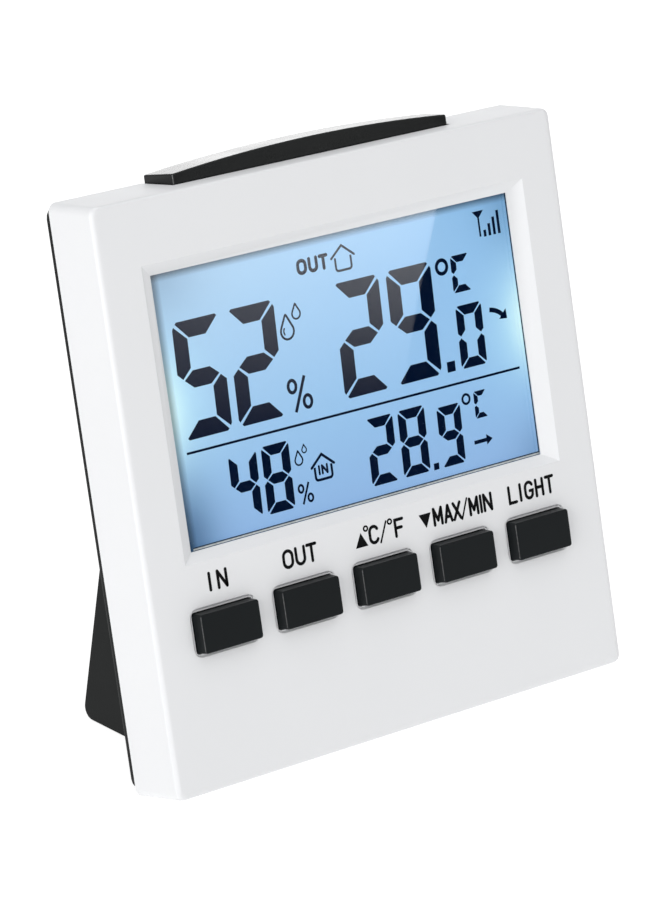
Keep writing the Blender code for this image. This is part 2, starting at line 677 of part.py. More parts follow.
def rear_cover():
    """The black back: plate, hump, battery bay, hinge ears, slots and vents."""
    body = bmesh.new()
    block(body, (REAR_X[0] + COVER_INSET, REAR_X[1] - COVER_INSET), COVER_Y,
          (REAR_Z[0] + COVER_INSET, REAR_Z[1] - COVER_INSET))
    round_edges(body, COVER_CORNER, CORNER_FACETS, runs_back)
    round_edges(body, COVER_CHAMFER, 2, lambda way, middle: middle.y > COVER_Y[1] - NEAR)
    cover = add_node("rear_cover", body, "black_shell")

    inner = COVER_Y[0] + OVERLAP
    hump = shapes((HUMP_X, (inner, HUMP_BACK), HUMP_Z))
    round_edges(hump, HUMP_EDGE, 2, lambda way, middle: middle.y > HUMP_BACK - NEAR
                and middle.z > HUMP_Z[0] + NEAR)
    join(cover, hump, "hump")
    cut(cover, shapes(((HUMP_X[0] + HUMP_WALL, HUMP_X[1] - HUMP_WALL),
                       (COVER_Y[0] - OVERSHOOT, HUMP_BACK - HUMP_WALL),
                       (HUMP_Z[0] + HUMP_WALL, HUMP_Z[1] - HUMP_WALL))), "hump_inside")

    additions = shapes(((BAY_X[0] - HUMP_WALL, BAY_X[1] + HUMP_WALL),
                        (BAY_FLOOR_Y[0], HUMP_BACK - HUMP_WALL / 2),
                        (BAY_Z[0] - HUMP_WALL, BAY_Z[1] + HUMP_WALL)))
    lip_y = (COVER_Y[0] - COVER_LIP_REACH, inner)
    block(additions, COVER_LIP_X, lip_y, COVER_LIP_Z)
    block(additions, (2 * MIDDLE_X - COVER_LIP_X[1], 2 * MIDDLE_X - COVER_LIP_X[0]), lip_y,
          COVER_LIP_Z)
    for xs in EAR_X:
        block(additions, xs, (inner, HINGE_Y), (HINGE_Z - EAR_R, HINGE_Z + EAR_R))
    join(cover, additions, "bay_and_ears")
    ear_rounds = bmesh.new()
    for xs in EAR_X:
        rod(ear_rounds, 'x', (HINGE_Y, HINGE_Z), EAR_R - 0.02, xs, SIDES)
    join(cover, ear_rounds, "ear_rounds")

    behind = HUMP_BACK + OVERSHOOT
    cut(cover, shapes((BAY_X, (BAY_FLOOR_Y[1], behind), BAY_Z)), "bay")
    below = HUMP_Z[0] - OVERSHOOT
    top = DOOR_Z[1] + GAP
    cut(cover, shapes(((DOOR_X[0] - GAP, DOOR_X[1] + GAP), (DOOR_Y[0] - GAP, behind),
                       (below, top))), "door_opening")
    cut(cover, shapes(((DOOR_X[0] - TONGUE - GAP, DOOR_X[1] + TONGUE + GAP),
                       (DOOR_Y[0] - GAP, GROOVE_BACK), (below, top))), "door_grooves")

    passages = rods('y', CASE_SCREWS, CASE_HOLE_R, through(COVER_Y))
    for centre in CASE_SCREWS:
        rod(passages, 'y', centre, CASE_HEAD_R + GAP,
            (CASE_HEAD_Y[0] - GAP, COVER_Y[1] + OVERSHOOT))
    for x in (STAND_X[0], STAND_X[1] - CHEEK_THICK):
        block(passages, (x - GAP, x + CHEEK_THICK + GAP), through(COVER_Y), SLOT_Z)
    for index in range(VENT_SLOTS):
        z = VENT_Z + VENT_PITCH * index
        block(passages, VENT_X, through(COVER_Y), (z, z + VENT_HEIGHT))
    rod(passages, 'x', (HINGE_Y, HINGE_Z), BORE_R, through((EAR_X[0][0], EAR_X[1][1])))
    cut(cover, passages, "passages")
    cover.modifiers["passages"].use_self = True


def turned(name, profile, place, turn, finish):
    """A turned piece: an outer profile of (radius, height) screwed round its own axis."""
    mesh = bpy.data.meshes.new(name)
    bm = bmesh.new()
    corners = [bm.verts.new((radius * MM, 0.0, height * MM)) for radius, height in profile]
    for first, second in zip(corners, corners[1:]):
        bm.edges.new((first, second))
    bm.to_mesh(mesh)
    bm.free()
    node = bpy.data.objects.new(name, mesh)
    node.location = Vector(place) * MM
    node.rotation_euler = turn
    node.parent = HOUSING
    mesh.materials.append(finish_material(name, finish))
    spin = node.modifiers.new("turn", 'SCREW')
    spin.steps = SIDES
    spin.render_steps = SIDES
    spin.use_merge_vertices = True
    spin.merge_threshold = 0.00001
    PARTS.objects.link(node)


def battery_cell(name, nub_x, z, way):
    """One AAA cell; way is +1 when its raised contact points to +x."""
    barrel = CELL_LENGTH - CELL_NUB
    profile = [(0.0, CELL_LENGTH), (CELL_NUB_R, CELL_LENGTH), (CELL_NUB_R, barrel),
               (CELL_R - CELL_EDGE, barrel), (CELL_R, barrel - CELL_EDGE), (CELL_R, CELL_EDGE),
               (CELL_R - CELL_EDGE, 0.0), (0.0, 0.0)]
    turned(name, profile, (nub_x - way * CELL_LENGTH, CELL_Y, z),
           (0.0, way * math.pi / 2, 0.0), "cell")


def contact_spring(name, wall_x, tip_x, z):
    """A conical coil from the bay's end wall to the flat end of a cell."""
    points = []
    steps = int(SPRING_TURNS * SPRING_STEPS)
    for step in range(steps + 1):
        share = step / steps
        angle = 2 * math.pi * SPRING_TURNS * share
        radius = SPRING_BIG_R + (SPRING_SMALL_R - SPRING_BIG_R) * share
        points.append((wall_x + (tip_x - wall_x) * share, CELL_Y + radius * math.cos(angle),
                       z + radius * math.sin(angle)))
    wire(name, points, SPRING_WIRE_R, "steel")


def battery_set():
    """Two cells side by side, their contacts, and the leads up to the main board."""
    left = BAY_X[0] + GAP
    right = BAY_X[1] - GAP
    plate_y = (CELL_Y - CONTACT_HALF, CELL_Y + CONTACT_HALF)
    high_nub = left + CONTACT_THICK + GAP
    low_nub = right - CONTACT_THICK - GAP
    battery_cell("cell_upper", high_nub, CELL_HIGH_Z, -1)
    battery_cell("cell_lower", low_nub, CELL_LOW_Z, 1)
    plate("contact_plate_upper", (left, left + CONTACT_THICK), plate_y,
          (CELL_HIGH_Z - CONTACT_HALF, CELL_HIGH_Z + CONTACT_HALF), "steel")
    plate("contact_plate_lower", (right - CONTACT_THICK, right), plate_y,
          (CELL_LOW_Z - CONTACT_HALF, CELL_LOW_Z + CONTACT_HALF), "steel")
    room = GAP + SPRING_WIRE_R
    contact_spring("contact_spring_upper", right - SPRING_WIRE_R,
                   high_nub + CELL_LENGTH + room, CELL_HIGH_Z)
    contact_spring("contact_spring_lower", left + SPRING_WIRE_R,
                   low_nub - CELL_LENGTH - room, CELL_LOW_Z)
    channel = (HUMP_X[0] + BAY_X[0]) / 2
    battery_lead("battery_lead_positive", channel, CELL_HIGH_Z, "red_wire")
    battery_lead("battery_lead_negative", 2 * MIDDLE_X - channel, CELL_LOW_Z, "black_wire")


def battery_lead(name, x, z, finish):
    """A wire from beside a cell, up its channel, to the rear side of the main board."""
    end_y = REAR_PARTS_Y + LEAD_R
    route = [(CELL_Y, z), (CELL_Y, LEAD_START_Z), *LEAD_BEND]
    route += [(end_y, end_z) for end_z in LEAD_END_Z]
    wire(name, [(x, y, height) for y, height in route], LEAD_R, finish)


def battery_door():
    """The sliding door over the cells, with side tongues and a grip."""
    origin = (sum(DOOR_X) / 2, sum(DOOR_Y) / 2, sum(DOOR_Z) / 2)
    door = add_node("battery_door", shapes((DOOR_X, DOOR_Y, DOOR_Z)), "black_shell", origin=origin)
    join(door, shapes(((DOOR_X[0] - TONGUE, DOOR_X[1] + TONGUE), TONGUE_Y, DOOR_Z)), "tongues")
    grip = bmesh.new()
    for index in range(DOOR_GRIP_LINES):
        z = DOOR_GRIP_Z + DOOR_GRIP_PITCH * index
        block(grip, DOOR_GRIP_X, (DOOR_Y[1] - DOOR_GRIP_SIZE[1], DOOR_Y[1] + OVERSHOOT),
              (z, z + DOOR_GRIP_SIZE[0]))
    cut(door, grip, "grip")


def foot_line(y):
    """Height of the floor below the folded stand's hinge axis, at distance y from it."""
    tilt = LEAN - STAND_OPEN
    corner = -STAND_LENGTH
    return corner + (y - STAND_OUTER) * math.tan(tilt)


def stand_outline():
    """Side view of the stand from its hinge axis, folded: y outwards, z up."""
    inner = STAND_OUTER - STAND_THICK
    tilt = STAND_OPEN - LEAN
    heel_z = foot_line(STAND_OUTER) + FOOT_ROUND / math.tan((math.pi / 2 - tilt) / 2)
    heel = arc((STAND_OUTER - FOOT_ROUND, heel_z), FOOT_ROUND, 0, -90 - math.degrees(tilt), 6)
    front = -CHEEK_REACH
    toe = front + TOE_CHAMFER
    return ([(inner, 0.0), (STAND_OUTER, 0.0)] + heel
            + [(toe, foot_line(toe)), (front, foot_line(front) + TOE_CHAMFER),
               (inner, -CHEEK_START)])


def stand():
    """The fold-out stand: back plate, side cheeks, and the barrel on the hinge pin."""
    origin = Vector((0.0, HINGE_Y, HINGE_Z))
    shift = Matrix.Translation(origin)

    def placed(bm):
        bm.transform(shift)
        return bm

    leg = add_node("stand", placed(outline_prism(stand_outline(), STAND_X)), "black_shell",
                   origin=origin, turn=(STAND_OPEN, 0.0, 0.0))
    inner = STAND_OUTER - STAND_THICK
    channel = shapes(((STAND_X[0] + CHEEK_THICK, STAND_X[1] - CHEEK_THICK),
                      (-CHEEK_REACH - OVERSHOOT, inner),
                      (-STAND_LENGTH - CHEEK_REACH, OVERSHOOT)))
    cut(leg, placed(channel), "channel")
    depth = (-OVERSHOOT, STAND_OUTER + OVERSHOOT)
    height = (-PLATE_SHOULDER, OVERSHOOT)
    notches = shapes(((STAND_X[0] - OVERSHOOT, BARREL_X[0]), depth, height),
                     ((BARREL_X[1], STAND_X[1] + OVERSHOOT), depth, height))
    cut(leg, placed(notches), "notches")
    barrel = bmesh.new()
    rod(barrel, 'x', (0.0, 0.0), BARREL_R, BARREL_X, SIDES)
    join(leg, placed(barrel), "barrel")
    bore = bmesh.new()
    rod(bore, 'x', (0.0, 0.0), BORE_R, through(BARREL_X))
    cut(leg, placed(bore), "bore")

    pin = bmesh.new()
    rod(pin, 'x', (HINGE_Y, HINGE_Z), PIN_R, (EAR_X[0][0] + PIN_SUNK, EAR_X[1][1] - PIN_SUNK))
    add_node("stand_hinge_pin", pin, "steel")


def screw(name, place, shank_r, tip_y, head_r, head_y):
    """A cross-head screw that points forwards."""
    x, z = place
    body = add_node(name, rods('y', [place], shank_r, (tip_y, sum(head_y) / 2)), "steel",
                    origin=(x, head_y[1], z))
    join(body, rods('y', [place], head_r, head_y), "head")
    level = (head_y[1] - CROSS_DEPTH, head_y[1] + OVERSHOOT)
    arm = head_r * CROSS_SHARE
    half = CROSS_WIDTH / 2
    cut(body, shapes(((x - arm, x + arm), level, (z - half, z + half))), "cross_wide")
    cut(body, shapes(((x - half, x + half), level, (z - arm, z + arm))), "cross_tall")


def screw_set(name, places, shank_r, tip_y, head_r, head_y):
    for number, place in enumerate(places, start=1):
        screw(f"{name}_{number}", place, shank_r, tip_y, head_r, head_y)


def fasteners():
    screw_set("case_screw", CASE_SCREWS, CASE_SHANK_R, FRONT_WALL + SCREW_BITE,
              CASE_HEAD_R, CASE_HEAD_Y)
    board_head = (BOARD_Y[1] + GAP, BOARD_Y[1] + GAP + SMALL_HEAD)
    screw_set("board_screw", BOARD_SCREWS, SMALL_SHANK_R, FRONT_WALL + SCREW_BITE,
              SMALL_HEAD_R, board_head)
    key_head = (KEY_BOARD_Y[1] + GAP, KEY_BOARD_Y[1] + GAP + SMALL_HEAD)
    screw_set("key_board_screw", KEY_BOARD_SCREWS, SMALL_SHANK_R, FRONT_WALL + KEY_SCREW_BITE,
              SMALL_HEAD_R, key_head)


front_case()
display_stack()
main_board()
key_row()
light_bar()
rear_cover()
battery_set()
battery_door()
stand()
fasteners()
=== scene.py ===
"""Looks of the maximum minimum thermometer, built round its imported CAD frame.

Places and sizes on the object are in millimetres in the face's own frame: x to the right, y back
from the face, z up along it. The camera, the lights and the floor are in metres.
"""
import json
import math

import bmesh
import bpy
from mathutils import Matrix, Vector


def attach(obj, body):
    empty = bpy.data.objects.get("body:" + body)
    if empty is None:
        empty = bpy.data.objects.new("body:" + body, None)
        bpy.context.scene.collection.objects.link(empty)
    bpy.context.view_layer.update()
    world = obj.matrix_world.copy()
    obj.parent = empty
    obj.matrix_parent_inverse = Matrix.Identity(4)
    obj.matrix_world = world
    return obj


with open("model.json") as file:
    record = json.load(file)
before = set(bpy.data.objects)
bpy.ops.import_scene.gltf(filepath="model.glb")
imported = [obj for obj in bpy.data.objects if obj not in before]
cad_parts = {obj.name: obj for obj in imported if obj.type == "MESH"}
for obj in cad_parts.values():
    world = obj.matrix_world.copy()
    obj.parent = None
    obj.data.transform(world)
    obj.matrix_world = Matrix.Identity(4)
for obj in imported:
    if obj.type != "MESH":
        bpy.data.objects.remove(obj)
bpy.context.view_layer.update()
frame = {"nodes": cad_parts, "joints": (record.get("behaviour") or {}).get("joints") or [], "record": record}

MM = 0.001

# ---------------------------------------------------------------- the face's own frame
JOINTS = {joint["name"]: joint for joint in frame["joints"]}
RIGHT = Vector((1.0, 0.0, 0.0))
BACK = Vector(JOINTS["key_in_press"]["axis"]).normalized()
UP = RIGHT.cross(BACK)
LEAN = math.atan2(-BACK.z, BACK.y)
MIDDLE_X = 46.5                # middle of the case, from the zero of x
BOTTOM_DROP = 0.5              # how far the case's rear bottom edge lies below z = 0


def along(node, axis):
    """Lowest and highest reach of a CAD node along an axis, in metres."""
    reach = [vert.co.dot(axis) for vert in frame["nodes"][node].data.vertices]
    return min(reach), max(reach)


FACE_FRONT = along("front_case", BACK)[0]
FACE_BOTTOM = along("front_case", UP)[0] + BOTTOM_DROP * MM
ORIGIN = RIGHT * (-MIDDLE_X * MM) + BACK * FACE_FRONT + UP * FACE_BOTTOM
TURN = Matrix((RIGHT, BACK, UP)).transposed().to_4x4()
FACE = Matrix.Translation(ORIGIN) @ TURN @ Matrix.Scale(MM, 4)


def front_depth(node):
    """How far a node's front lies behind the face."""
    return (along(node, BACK)[0] - FACE_FRONT) / MM


# ---------------------------------------------------------------- node helpers
def new_object(name, bm):
    mesh = bpy.data.meshes.new(name)
    bm.to_mesh(mesh)
    bm.free()
    piece = bpy.data.objects.new(name, mesh)
    bpy.context.scene.collection.objects.link(piece)
    return piece


def new_material(name):
    material = bpy.data.materials.new(name)
    material.use_nodes = True
    return material, material.node_tree.nodes["Principled BSDF"]


def add_node(tree, kind, **settings):
    node = tree.nodes.new(kind)
    for key, value in settings.items():
        setattr(node, key, value)
    return node


def feed(tree, socket, value):
    """Link a socket, or set its value."""
    if isinstance(value, bpy.types.NodeSocket):
        tree.links.new(value, socket)
    else:
        socket.default_value = value


def set_inputs(tree, node, values):
    """Link or set several sockets of a node by name."""
    for name, value in values.items():
        feed(tree, node.inputs[name], value)


def calc(tree, operation, first, second=0.0, third=0.0):
    node = add_node(tree, 'ShaderNodeMath', operation=operation)
    for socket, value in zip(node.inputs, (first, second, third)):
        feed(tree, socket, value)
    return node.outputs[0]


def vary(tree, field, middle, spread):
    """A value that wanders about its middle as a field goes from 0 to 1."""
    return calc(tree, 'MULTIPLY_ADD', field, spread, middle - spread / 2)


def rescale(tree, value, limits, results=(0.0, 1.0)):
    """Carry a value from between two limits to between two results, and no further."""
    node = add_node(tree, 'ShaderNodeMapRange')
    set_inputs(tree, node, {"Value": value, "From Min": limits[0], "From Max": limits[1],
                            "To Min": results[0], "To Max": results[1]})
    return node.outputs[0]


def ramp(tree, factor, stops):
    """A colour ramp; stops are (position, (r, g, b))."""
    node = add_node(tree, 'ShaderNodeValToRGB')
    elements = node.color_ramp.elements
    elements[0].position, elements[1].position = stops[0][0], stops[-1][0]
    elements[0].color, elements[1].color = (*stops[0][1], 1.0), (*stops[-1][1], 1.0)
    for position, colour in stops[1:-1]:
        elements.new(position).color = (*colour, 1.0)
    feed(tree, node.inputs[0], factor)
    return node.outputs[0]


def mix_colour(tree, factor, first, second, blend='MIX'):
    node = add_node(tree, 'ShaderNodeMix', data_type='RGBA', blend_type=blend)
    feed(tree, node.inputs[0], factor)
    feed(tree, node.inputs[6], first)
    feed(tree, node.inputs[7], second)
    return node.outputs[2]


def split_xyz(tree, vector):
    """The three parts of a vector."""
    node = add_node(tree, 'ShaderNodeSeparateXYZ')
    tree.links.new(vector, node.inputs[0])
    return node.outputs


def coordinate(tree, kind):
    """One of the surface's own coordinates: Object, Normal or Generated."""
    return add_node(tree, 'ShaderNodeTexCoord').outputs[kind]


def facing(tree, way):
    """How squarely the surface faces a way: 1 when it looks straight along it."""
    node = add_node(tree, 'ShaderNodeVectorMath', operation='DOT_PRODUCT')
    tree.links.new(coordinate(tree, 'Normal'), node.inputs[0])
    node.inputs[1].default_value = way.normalized()
    return node.outputs['Value']


def noise(tree, scale, detail):
    """Noise over the object's own coordinates; scale is in cells per metre."""
    node = add_node(tree, 'ShaderNodeTexNoise')
    set_inputs(tree, node, {"Vector": coordinate(tree, 'Object'), "Scale": scale,
                            "Detail": detail, "Roughness": 0.55})
    return node.outputs['Fac']


def bump(tree, shader, height, depth_m):
    node = add_node(tree, 'ShaderNodeBump')
    set_inputs(tree, node, {"Strength": 1.0, "Distance": depth_m, "Height": height})
    tree.links.new(node.outputs['Normal'], shader.inputs['Normal'])


def srgb(red, green, blue):
    """Display values from 0 to 255 as linear colour."""
    parts = []
    for value in (red, green, blue):
        share = value / 255
        parts.append(share / 12.92 if share <= 0.04045 else ((share + 0.055) / 1.055) ** 2.4)
    return tuple(parts)


# ---------------------------------------------------------------- camera, light, floor
CAMERA_AIM = Vector((-0.00783, -0.01088, 0.04949))
CAMERA_HEADING = math.radians(39.144)     # from +Y towards +X
CAMERA_PITCH = math.radians(-19.424)
CAMERA_DISTANCE = 0.72816
CAMERA_LENS = 182.92           # millimetres, on the sensor's width
CAMERA_SENSOR = 36.0
VIEW = Vector((math.cos(CAMERA_PITCH) * math.sin(CAMERA_HEADING),
               math.cos(CAMERA_PITCH) * math.cos(CAMERA_HEADING), math.sin(CAMERA_PITCH)))
CAMERA_PLACE = CAMERA_AIM - VIEW * CAMERA_DISTANCE
SKY_COLOUR = (0.985, 0.99, 1.0, 1.0)
HORIZON_RADIANCE = 0.41
ZENITH_RADIANCE = 0.92
FLOOR_HALF = 3.0
FLOOR_DROP = 0.0002            # keeps the floor just clear of the stand's foot
FLOOR_ALBEDO = 0.35
FLOOR_GLOW = 0.85
LIGHTS = {                     # power in watts
    "side_softbox": dict(place=(-1.5, -0.6, 0.5), aim=(0.0, 0.0, 0.05), size=(1.0, 1.0), power=9.4),
    "top_softbox": dict(place=(-0.2, -0.5, 1.6), aim=(0.0, 0.0, 0.05), size=(1.2, 1.2), power=2.6),
    "rear_panel": dict(place=(0.72, 0.97, 0.17), aim=(0.0, 0.0, 0.08), size=(0.7, 0.36),
                       power=1.65),
}


def add_camera():
    data = bpy.data.cameras.new("camera")
    data.lens = CAMERA_LENS
    data.sensor_width = CAMERA_SENSOR
    data.clip_start = 0.01
    camera = bpy.data.objects.new("camera", data)
    camera.location = CAMERA_PLACE
    camera.rotation_euler = (math.pi / 2 + CAMERA_PITCH, 0.0, -CAMERA_HEADING)
    bpy.context.scene.collection.objects.link(camera)
    bpy.context.scene.camera = camera


def area_light(name, place, aim, size, power):
    """A rectangular lamp that the camera doesn't see."""
    data = bpy.data.lights.new(name, 'AREA')
    data.shape = 'RECTANGLE'
    data.size, data.size_y = size
    data.energy = power
    light = bpy.data.objects.new(name, data)
    light.location = place
    light.rotation_euler = (Vector(aim) - Vector(place)).to_track_quat('-Z', 'Y').to_euler()
    light.visible_camera = False
    bpy.context.scene.collection.objects.link(light)


def add_world():
    """A pale sky, brighter towards the zenith."""
    world = bpy.data.worlds.new("studio")
    world.use_nodes = True
    tree = world.node_tree
    height = calc(tree, 'MAXIMUM', split_xyz(tree, coordinate(tree, 'Generated'))[2], 0.0)
    radiance = calc(tree, 'MULTIPLY_ADD', height, ZENITH_RADIANCE - HORIZON_RADIANCE,
                    HORIZON_RADIANCE)
    set_inputs(tree, tree.nodes["Background"], {"Color": SKY_COLOUR, "Strength": radiance})
    bpy.context.scene.world = world


def add_floor():
    bm = bmesh.new()
    bmesh.ops.create_grid(bm, x_segments=1, y_segments=1, size=FLOOR_HALF)
    floor = new_object("studio_floor", bm)
    material, shader = new_material("studio_floor")
    set_inputs(material.node_tree, shader, {
        "Base Color": (FLOOR_ALBEDO, FLOOR_ALBEDO, FLOOR_ALBEDO, 1.0), "Roughness": 1.0,
        "Specular IOR Level": 0.0, "Emission Color": (1.0, 1.0, 1.0, 1.0),
        "Emission Strength": FLOOR_GLOW})
    floor.data.materials.append(material)
    floor.location.z = -FLOOR_DROP


# ---------------------------------------------------------------- plastics, metals, inks
DRIFT_SCALE = 35.0             # slow drift of a moulding's colour, in cells per metre
GLOSS_SCALE = 120.0            # patches of more and less gloss
GLOSS_SPREAD = 0.12
INK_GRAIN = 1500.0
INK_SHEEN = 0.06
STREAK_SCALE = 1800.0          # brush marks of a metal
STREAK_SPREAD = 0.2
STREAK_DEPTH = 0.000005        # metres
LENS_RIPPLE = 60.0
BOARD_SCALE = 260.0            # tracks of the circuit board
TRACK_DEPTH = 0.00002
LEFT_EDGE = -RIGHT - BACK      # the way a surface faces as it turns from the front to the left
TOP_EDGE = UP - BACK           # and to the top
# Painted highlight on the white shell: its colour is lightened by these shares where it turns from the front
# to the left and to the top.
SHELL_HIGHLIGHT_TURN = (0.86, 1.0)       # how squarely it faces there, from no effect to the whole
SHELL_PAINTED_HIGHLIGHTS = ((LEFT_EDGE, 0.1), (TOP_EDGE, 0.08))
POLISH_TURN = (0.90, 0.97)
POLISH_SCALE = 2400.0          # worn patches along a polished edge


def moulded_plastic(name, colour, roughness, grain, grain_depth, spread=0.03, specular=0.5):
    """Moulded plastic: fine grain, slight drift of colour, uneven gloss."""
    material, shader = new_material(name)
    tree = material.node_tree
    light = tuple(min(1.0, part * (1 + spread)) for part in colour)
    dark = tuple(part * (1 - spread) for part in colour)
    set_inputs(tree, shader, {
        "Base Color": ramp(tree, noise(tree, DRIFT_SCALE, 2.0), [(0.3, dark), (0.7, light)]),
        "Roughness": vary(tree, noise(tree, GLOSS_SCALE, 4.0), roughness, GLOSS_SPREAD),
        "Specular IOR Level": specular})
    bump(tree, shader, noise(tree, grain, 2.0), grain_depth)
    return material


def white_shell():
    """White plastic that lets a little light through, with painted highlights where the front turns to the
    left and to the top.
    """
    material = moulded_plastic("white_shell", (0.775, 0.78, 0.79), roughness=0.5, grain=2600.0,
                               grain_depth=0.000010, spread=0.008, specular=0.35)
    tree = material.node_tree
    shader = tree.nodes["Principled BSDF"]
    # Painted highlight: lighten the colour along the turns to the left and to the top.
    highlight_gain = 1.0
    for way, most in SHELL_PAINTED_HIGHLIGHTS:
        share = rescale(tree, facing(tree, way), SHELL_HIGHLIGHT_TURN)
        highlight_gain = calc(tree, 'MULTIPLY_ADD', share, most, highlight_gain)
    plain = shader.inputs["Base Color"].links[0].from_socket
    set_inputs(tree, shader, {"Base Color": mix_colour(tree, 1.0, plain, highlight_gain, 'MULTIPLY'),
                              "Subsurface Weight": 0.08,
                              "Subsurface Radius": (0.001, 0.001, 0.001)})
    return material


def black_shell():
    return moulded_plastic("black_shell", (0.0095, 0.0105, 0.0105), roughness=0.40, grain=3200.0,
                           grain_depth=0.000018, spread=0.10, specular=0.06)


def polish_edge(material, specular, polished):
    """Raise the sheen where a surface turns from the left side to the front."""
    tree = material.node_tree
    edge = rescale(tree, facing(tree, LEFT_EDGE), POLISH_TURN)
    worn = calc(tree, 'MULTIPLY', edge, noise(tree, POLISH_SCALE, 2.0))
    feed(tree, tree.nodes["Principled BSDF"].inputs["Specular IOR Level"],
         calc(tree, 'MULTIPLY_ADD', worn, polished, specular))
    return material


def black_bar():
    plastic = moulded_plastic("black_bar", (0.008, 0.009, 0.009), roughness=0.24, grain=3200.0,
                              grain_depth=0.000006, spread=0.10)
    return polish_edge(plastic, specular=0.28, polished=1.6)


def black_key():
    plastic = moulded_plastic("black_key", (0.007, 0.009, 0.010), roughness=0.33, grain=2600.0,
                              grain_depth=0.000008, spread=0.10)
    return polish_edge(plastic, specular=0.13, polished=1.7)


def clear_lens():
    material, shader = new_material("clear_lens")
    tree = material.node_tree
    ripple = vary(tree, noise(tree, LENS_RIPPLE, 2.0), middle=0.01, spread=0.02)
    set_inputs(tree, shader, {"Base Color": (0.98, 0.99, 1.0, 1.0), "Transmission Weight": 1.0,
                              "IOR": 1.45, "Roughness": ripple})
    return material


def ink(name, colour, roughness=0.5, leak=(0.0, 0.0, 0.0)):
    """Dark print; leak is the light of the display that gets through it."""
    material, shader = new_material(name)
    tree = material.node_tree
    light = tuple(part * 1.3 for part in colour)
    set_inputs(tree, shader, {
        "Base Color": ramp(tree, noise(tree, INK_GRAIN, 2.0), [(0.35, colour), (0.65, light)]),
        "Roughness": roughness, "Specular IOR Level": INK_SHEEN,
        "Emission Color": (*leak, 1.0), "Emission Strength": 1.0})
    return material


def brushed_metal(name, colour, roughness):
    material, shader = new_material(name)
    tree = material.node_tree
    streak = noise(tree, STREAK_SCALE, 3.0)
    bright = tuple(min(1.0, part * 1.12) for part in colour)
    set_inputs(tree, shader, {"Base Color": ramp(tree, streak, [(0.3, colour), (0.7, bright)]),
                              "Metallic": 1.0,
                              "Roughness": vary(tree, streak, roughness, STREAK_SPREAD)})
    bump(tree, shader, streak, STREAK_DEPTH)
    return material


def circuit_board():
    """Green solder mask over copper tracks."""
    material, shader = new_material("circuit_board")
    tree = material.node_tree
    tracks = add_node(tree, 'ShaderNodeTexBrick', offset=0.37, squash=1.6)
    set_inputs(tree, tracks, {"Vector": coordinate(tree, 'Object'), "Scale": BOARD_SCALE,
                              "Mortar Size": 0.05, "Color1": (0.020, 0.150, 0.055, 1.0),
                              "Color2": (0.026, 0.170, 0.062, 1.0),
                              "Mortar": (0.07, 0.30, 0.12, 1.0)})
    set_inputs(tree, shader, {"Base Color": tracks.outputs['Color'], "Roughness": 0.35})
    bump(tree, shader, tracks.outputs['Fac'], TRACK_DEPTH)
    return material


# ---------------------------------------------------------------- the display's backlight
PANEL_BOTTOM = 38.0
PANEL_HEIGHT = 43.0
PANEL_REACH = 93.0             # x at which the pale left side has faded out
PANEL_BLUES = [(0.0, srgb(142, 181, 225)), (0.35, srgb(143, 190, 232)),
               (0.7, srgb(139, 189, 233)), (1.0, srgb(133, 186, 231))]      # from bottom to top
PANEL_PALE = (*srgb(196, 224, 242), 1.0)
PANEL_PALE_SHARE = 0.75
CORNER_BLUE = (*srgb(52, 92, 130), 1.0)
PANEL_CORNERS = (((10.0, 38.0), (6.5, 11.0), 0.92), ((10.0, 83.0), (10.0, 9.0), 0.42),
                 ((86.0, 37.0), (7.0, 6.0), 0.35), ((86.0, 82.0), (8.0, 10.0), 0.45))
LAMP_PLACES = ((10.2, 60.0), (85.0, 60.0))
LAMP_GLOWS = (((8.0, 9.5), 0.65, (*srgb(190, 238, 255), 1.0)),
              ((3.2, 6.5), 0.9, (*srgb(222, 255, 255), 1.0)))
PANEL_TOP_SHADE = (81.0, 79.9)            # dark to clear, up the face
PANEL_TOP_LEAST = 0.3                     # light left where it is dark
PANEL_LEFT_SHADE = (11.3, 12.5)           # dark to clear, across it
PANEL_LEFT_LEAST = 0.4
PANEL_ALBEDO = 0.12                       # share of the glow's colour that the unlit panel has
MOTTLE_SCALE = 900.0
MOTTLE_SPREAD = 0.04


def face_position(tree):
    """Sockets for x and z over the face."""
    mapping = add_node(tree, 'ShaderNodeMapping', vector_type='TEXTURE')
    set_inputs(tree, mapping, {"Vector": coordinate(tree, 'Object'), "Location": ORIGIN,
                               "Rotation": (-LEAN, 0.0, 0.0), "Scale": (MM, MM, MM)})
    parts = split_xyz(tree, mapping.outputs['Vector'])
    return parts[0], parts[2]


def spot(tree, x, z, centre, reach):
    """A soft round spot: 1 at its centre, fading over reach = (x, z)."""
    across = calc(tree, 'DIVIDE', calc(tree, 'SUBTRACT', x, centre[0]), reach[0])
    high = calc(tree, 'DIVIDE', calc(tree, 'SUBTRACT', z, centre[1]), reach[1])
    square = calc(tree, 'ADD', calc(tree, 'MULTIPLY', across, across),
                  calc(tree, 'MULTIPLY', high, high))
    return calc(tree, 'EXPONENT', calc(tree, 'MULTIPLY', square, -1.0))


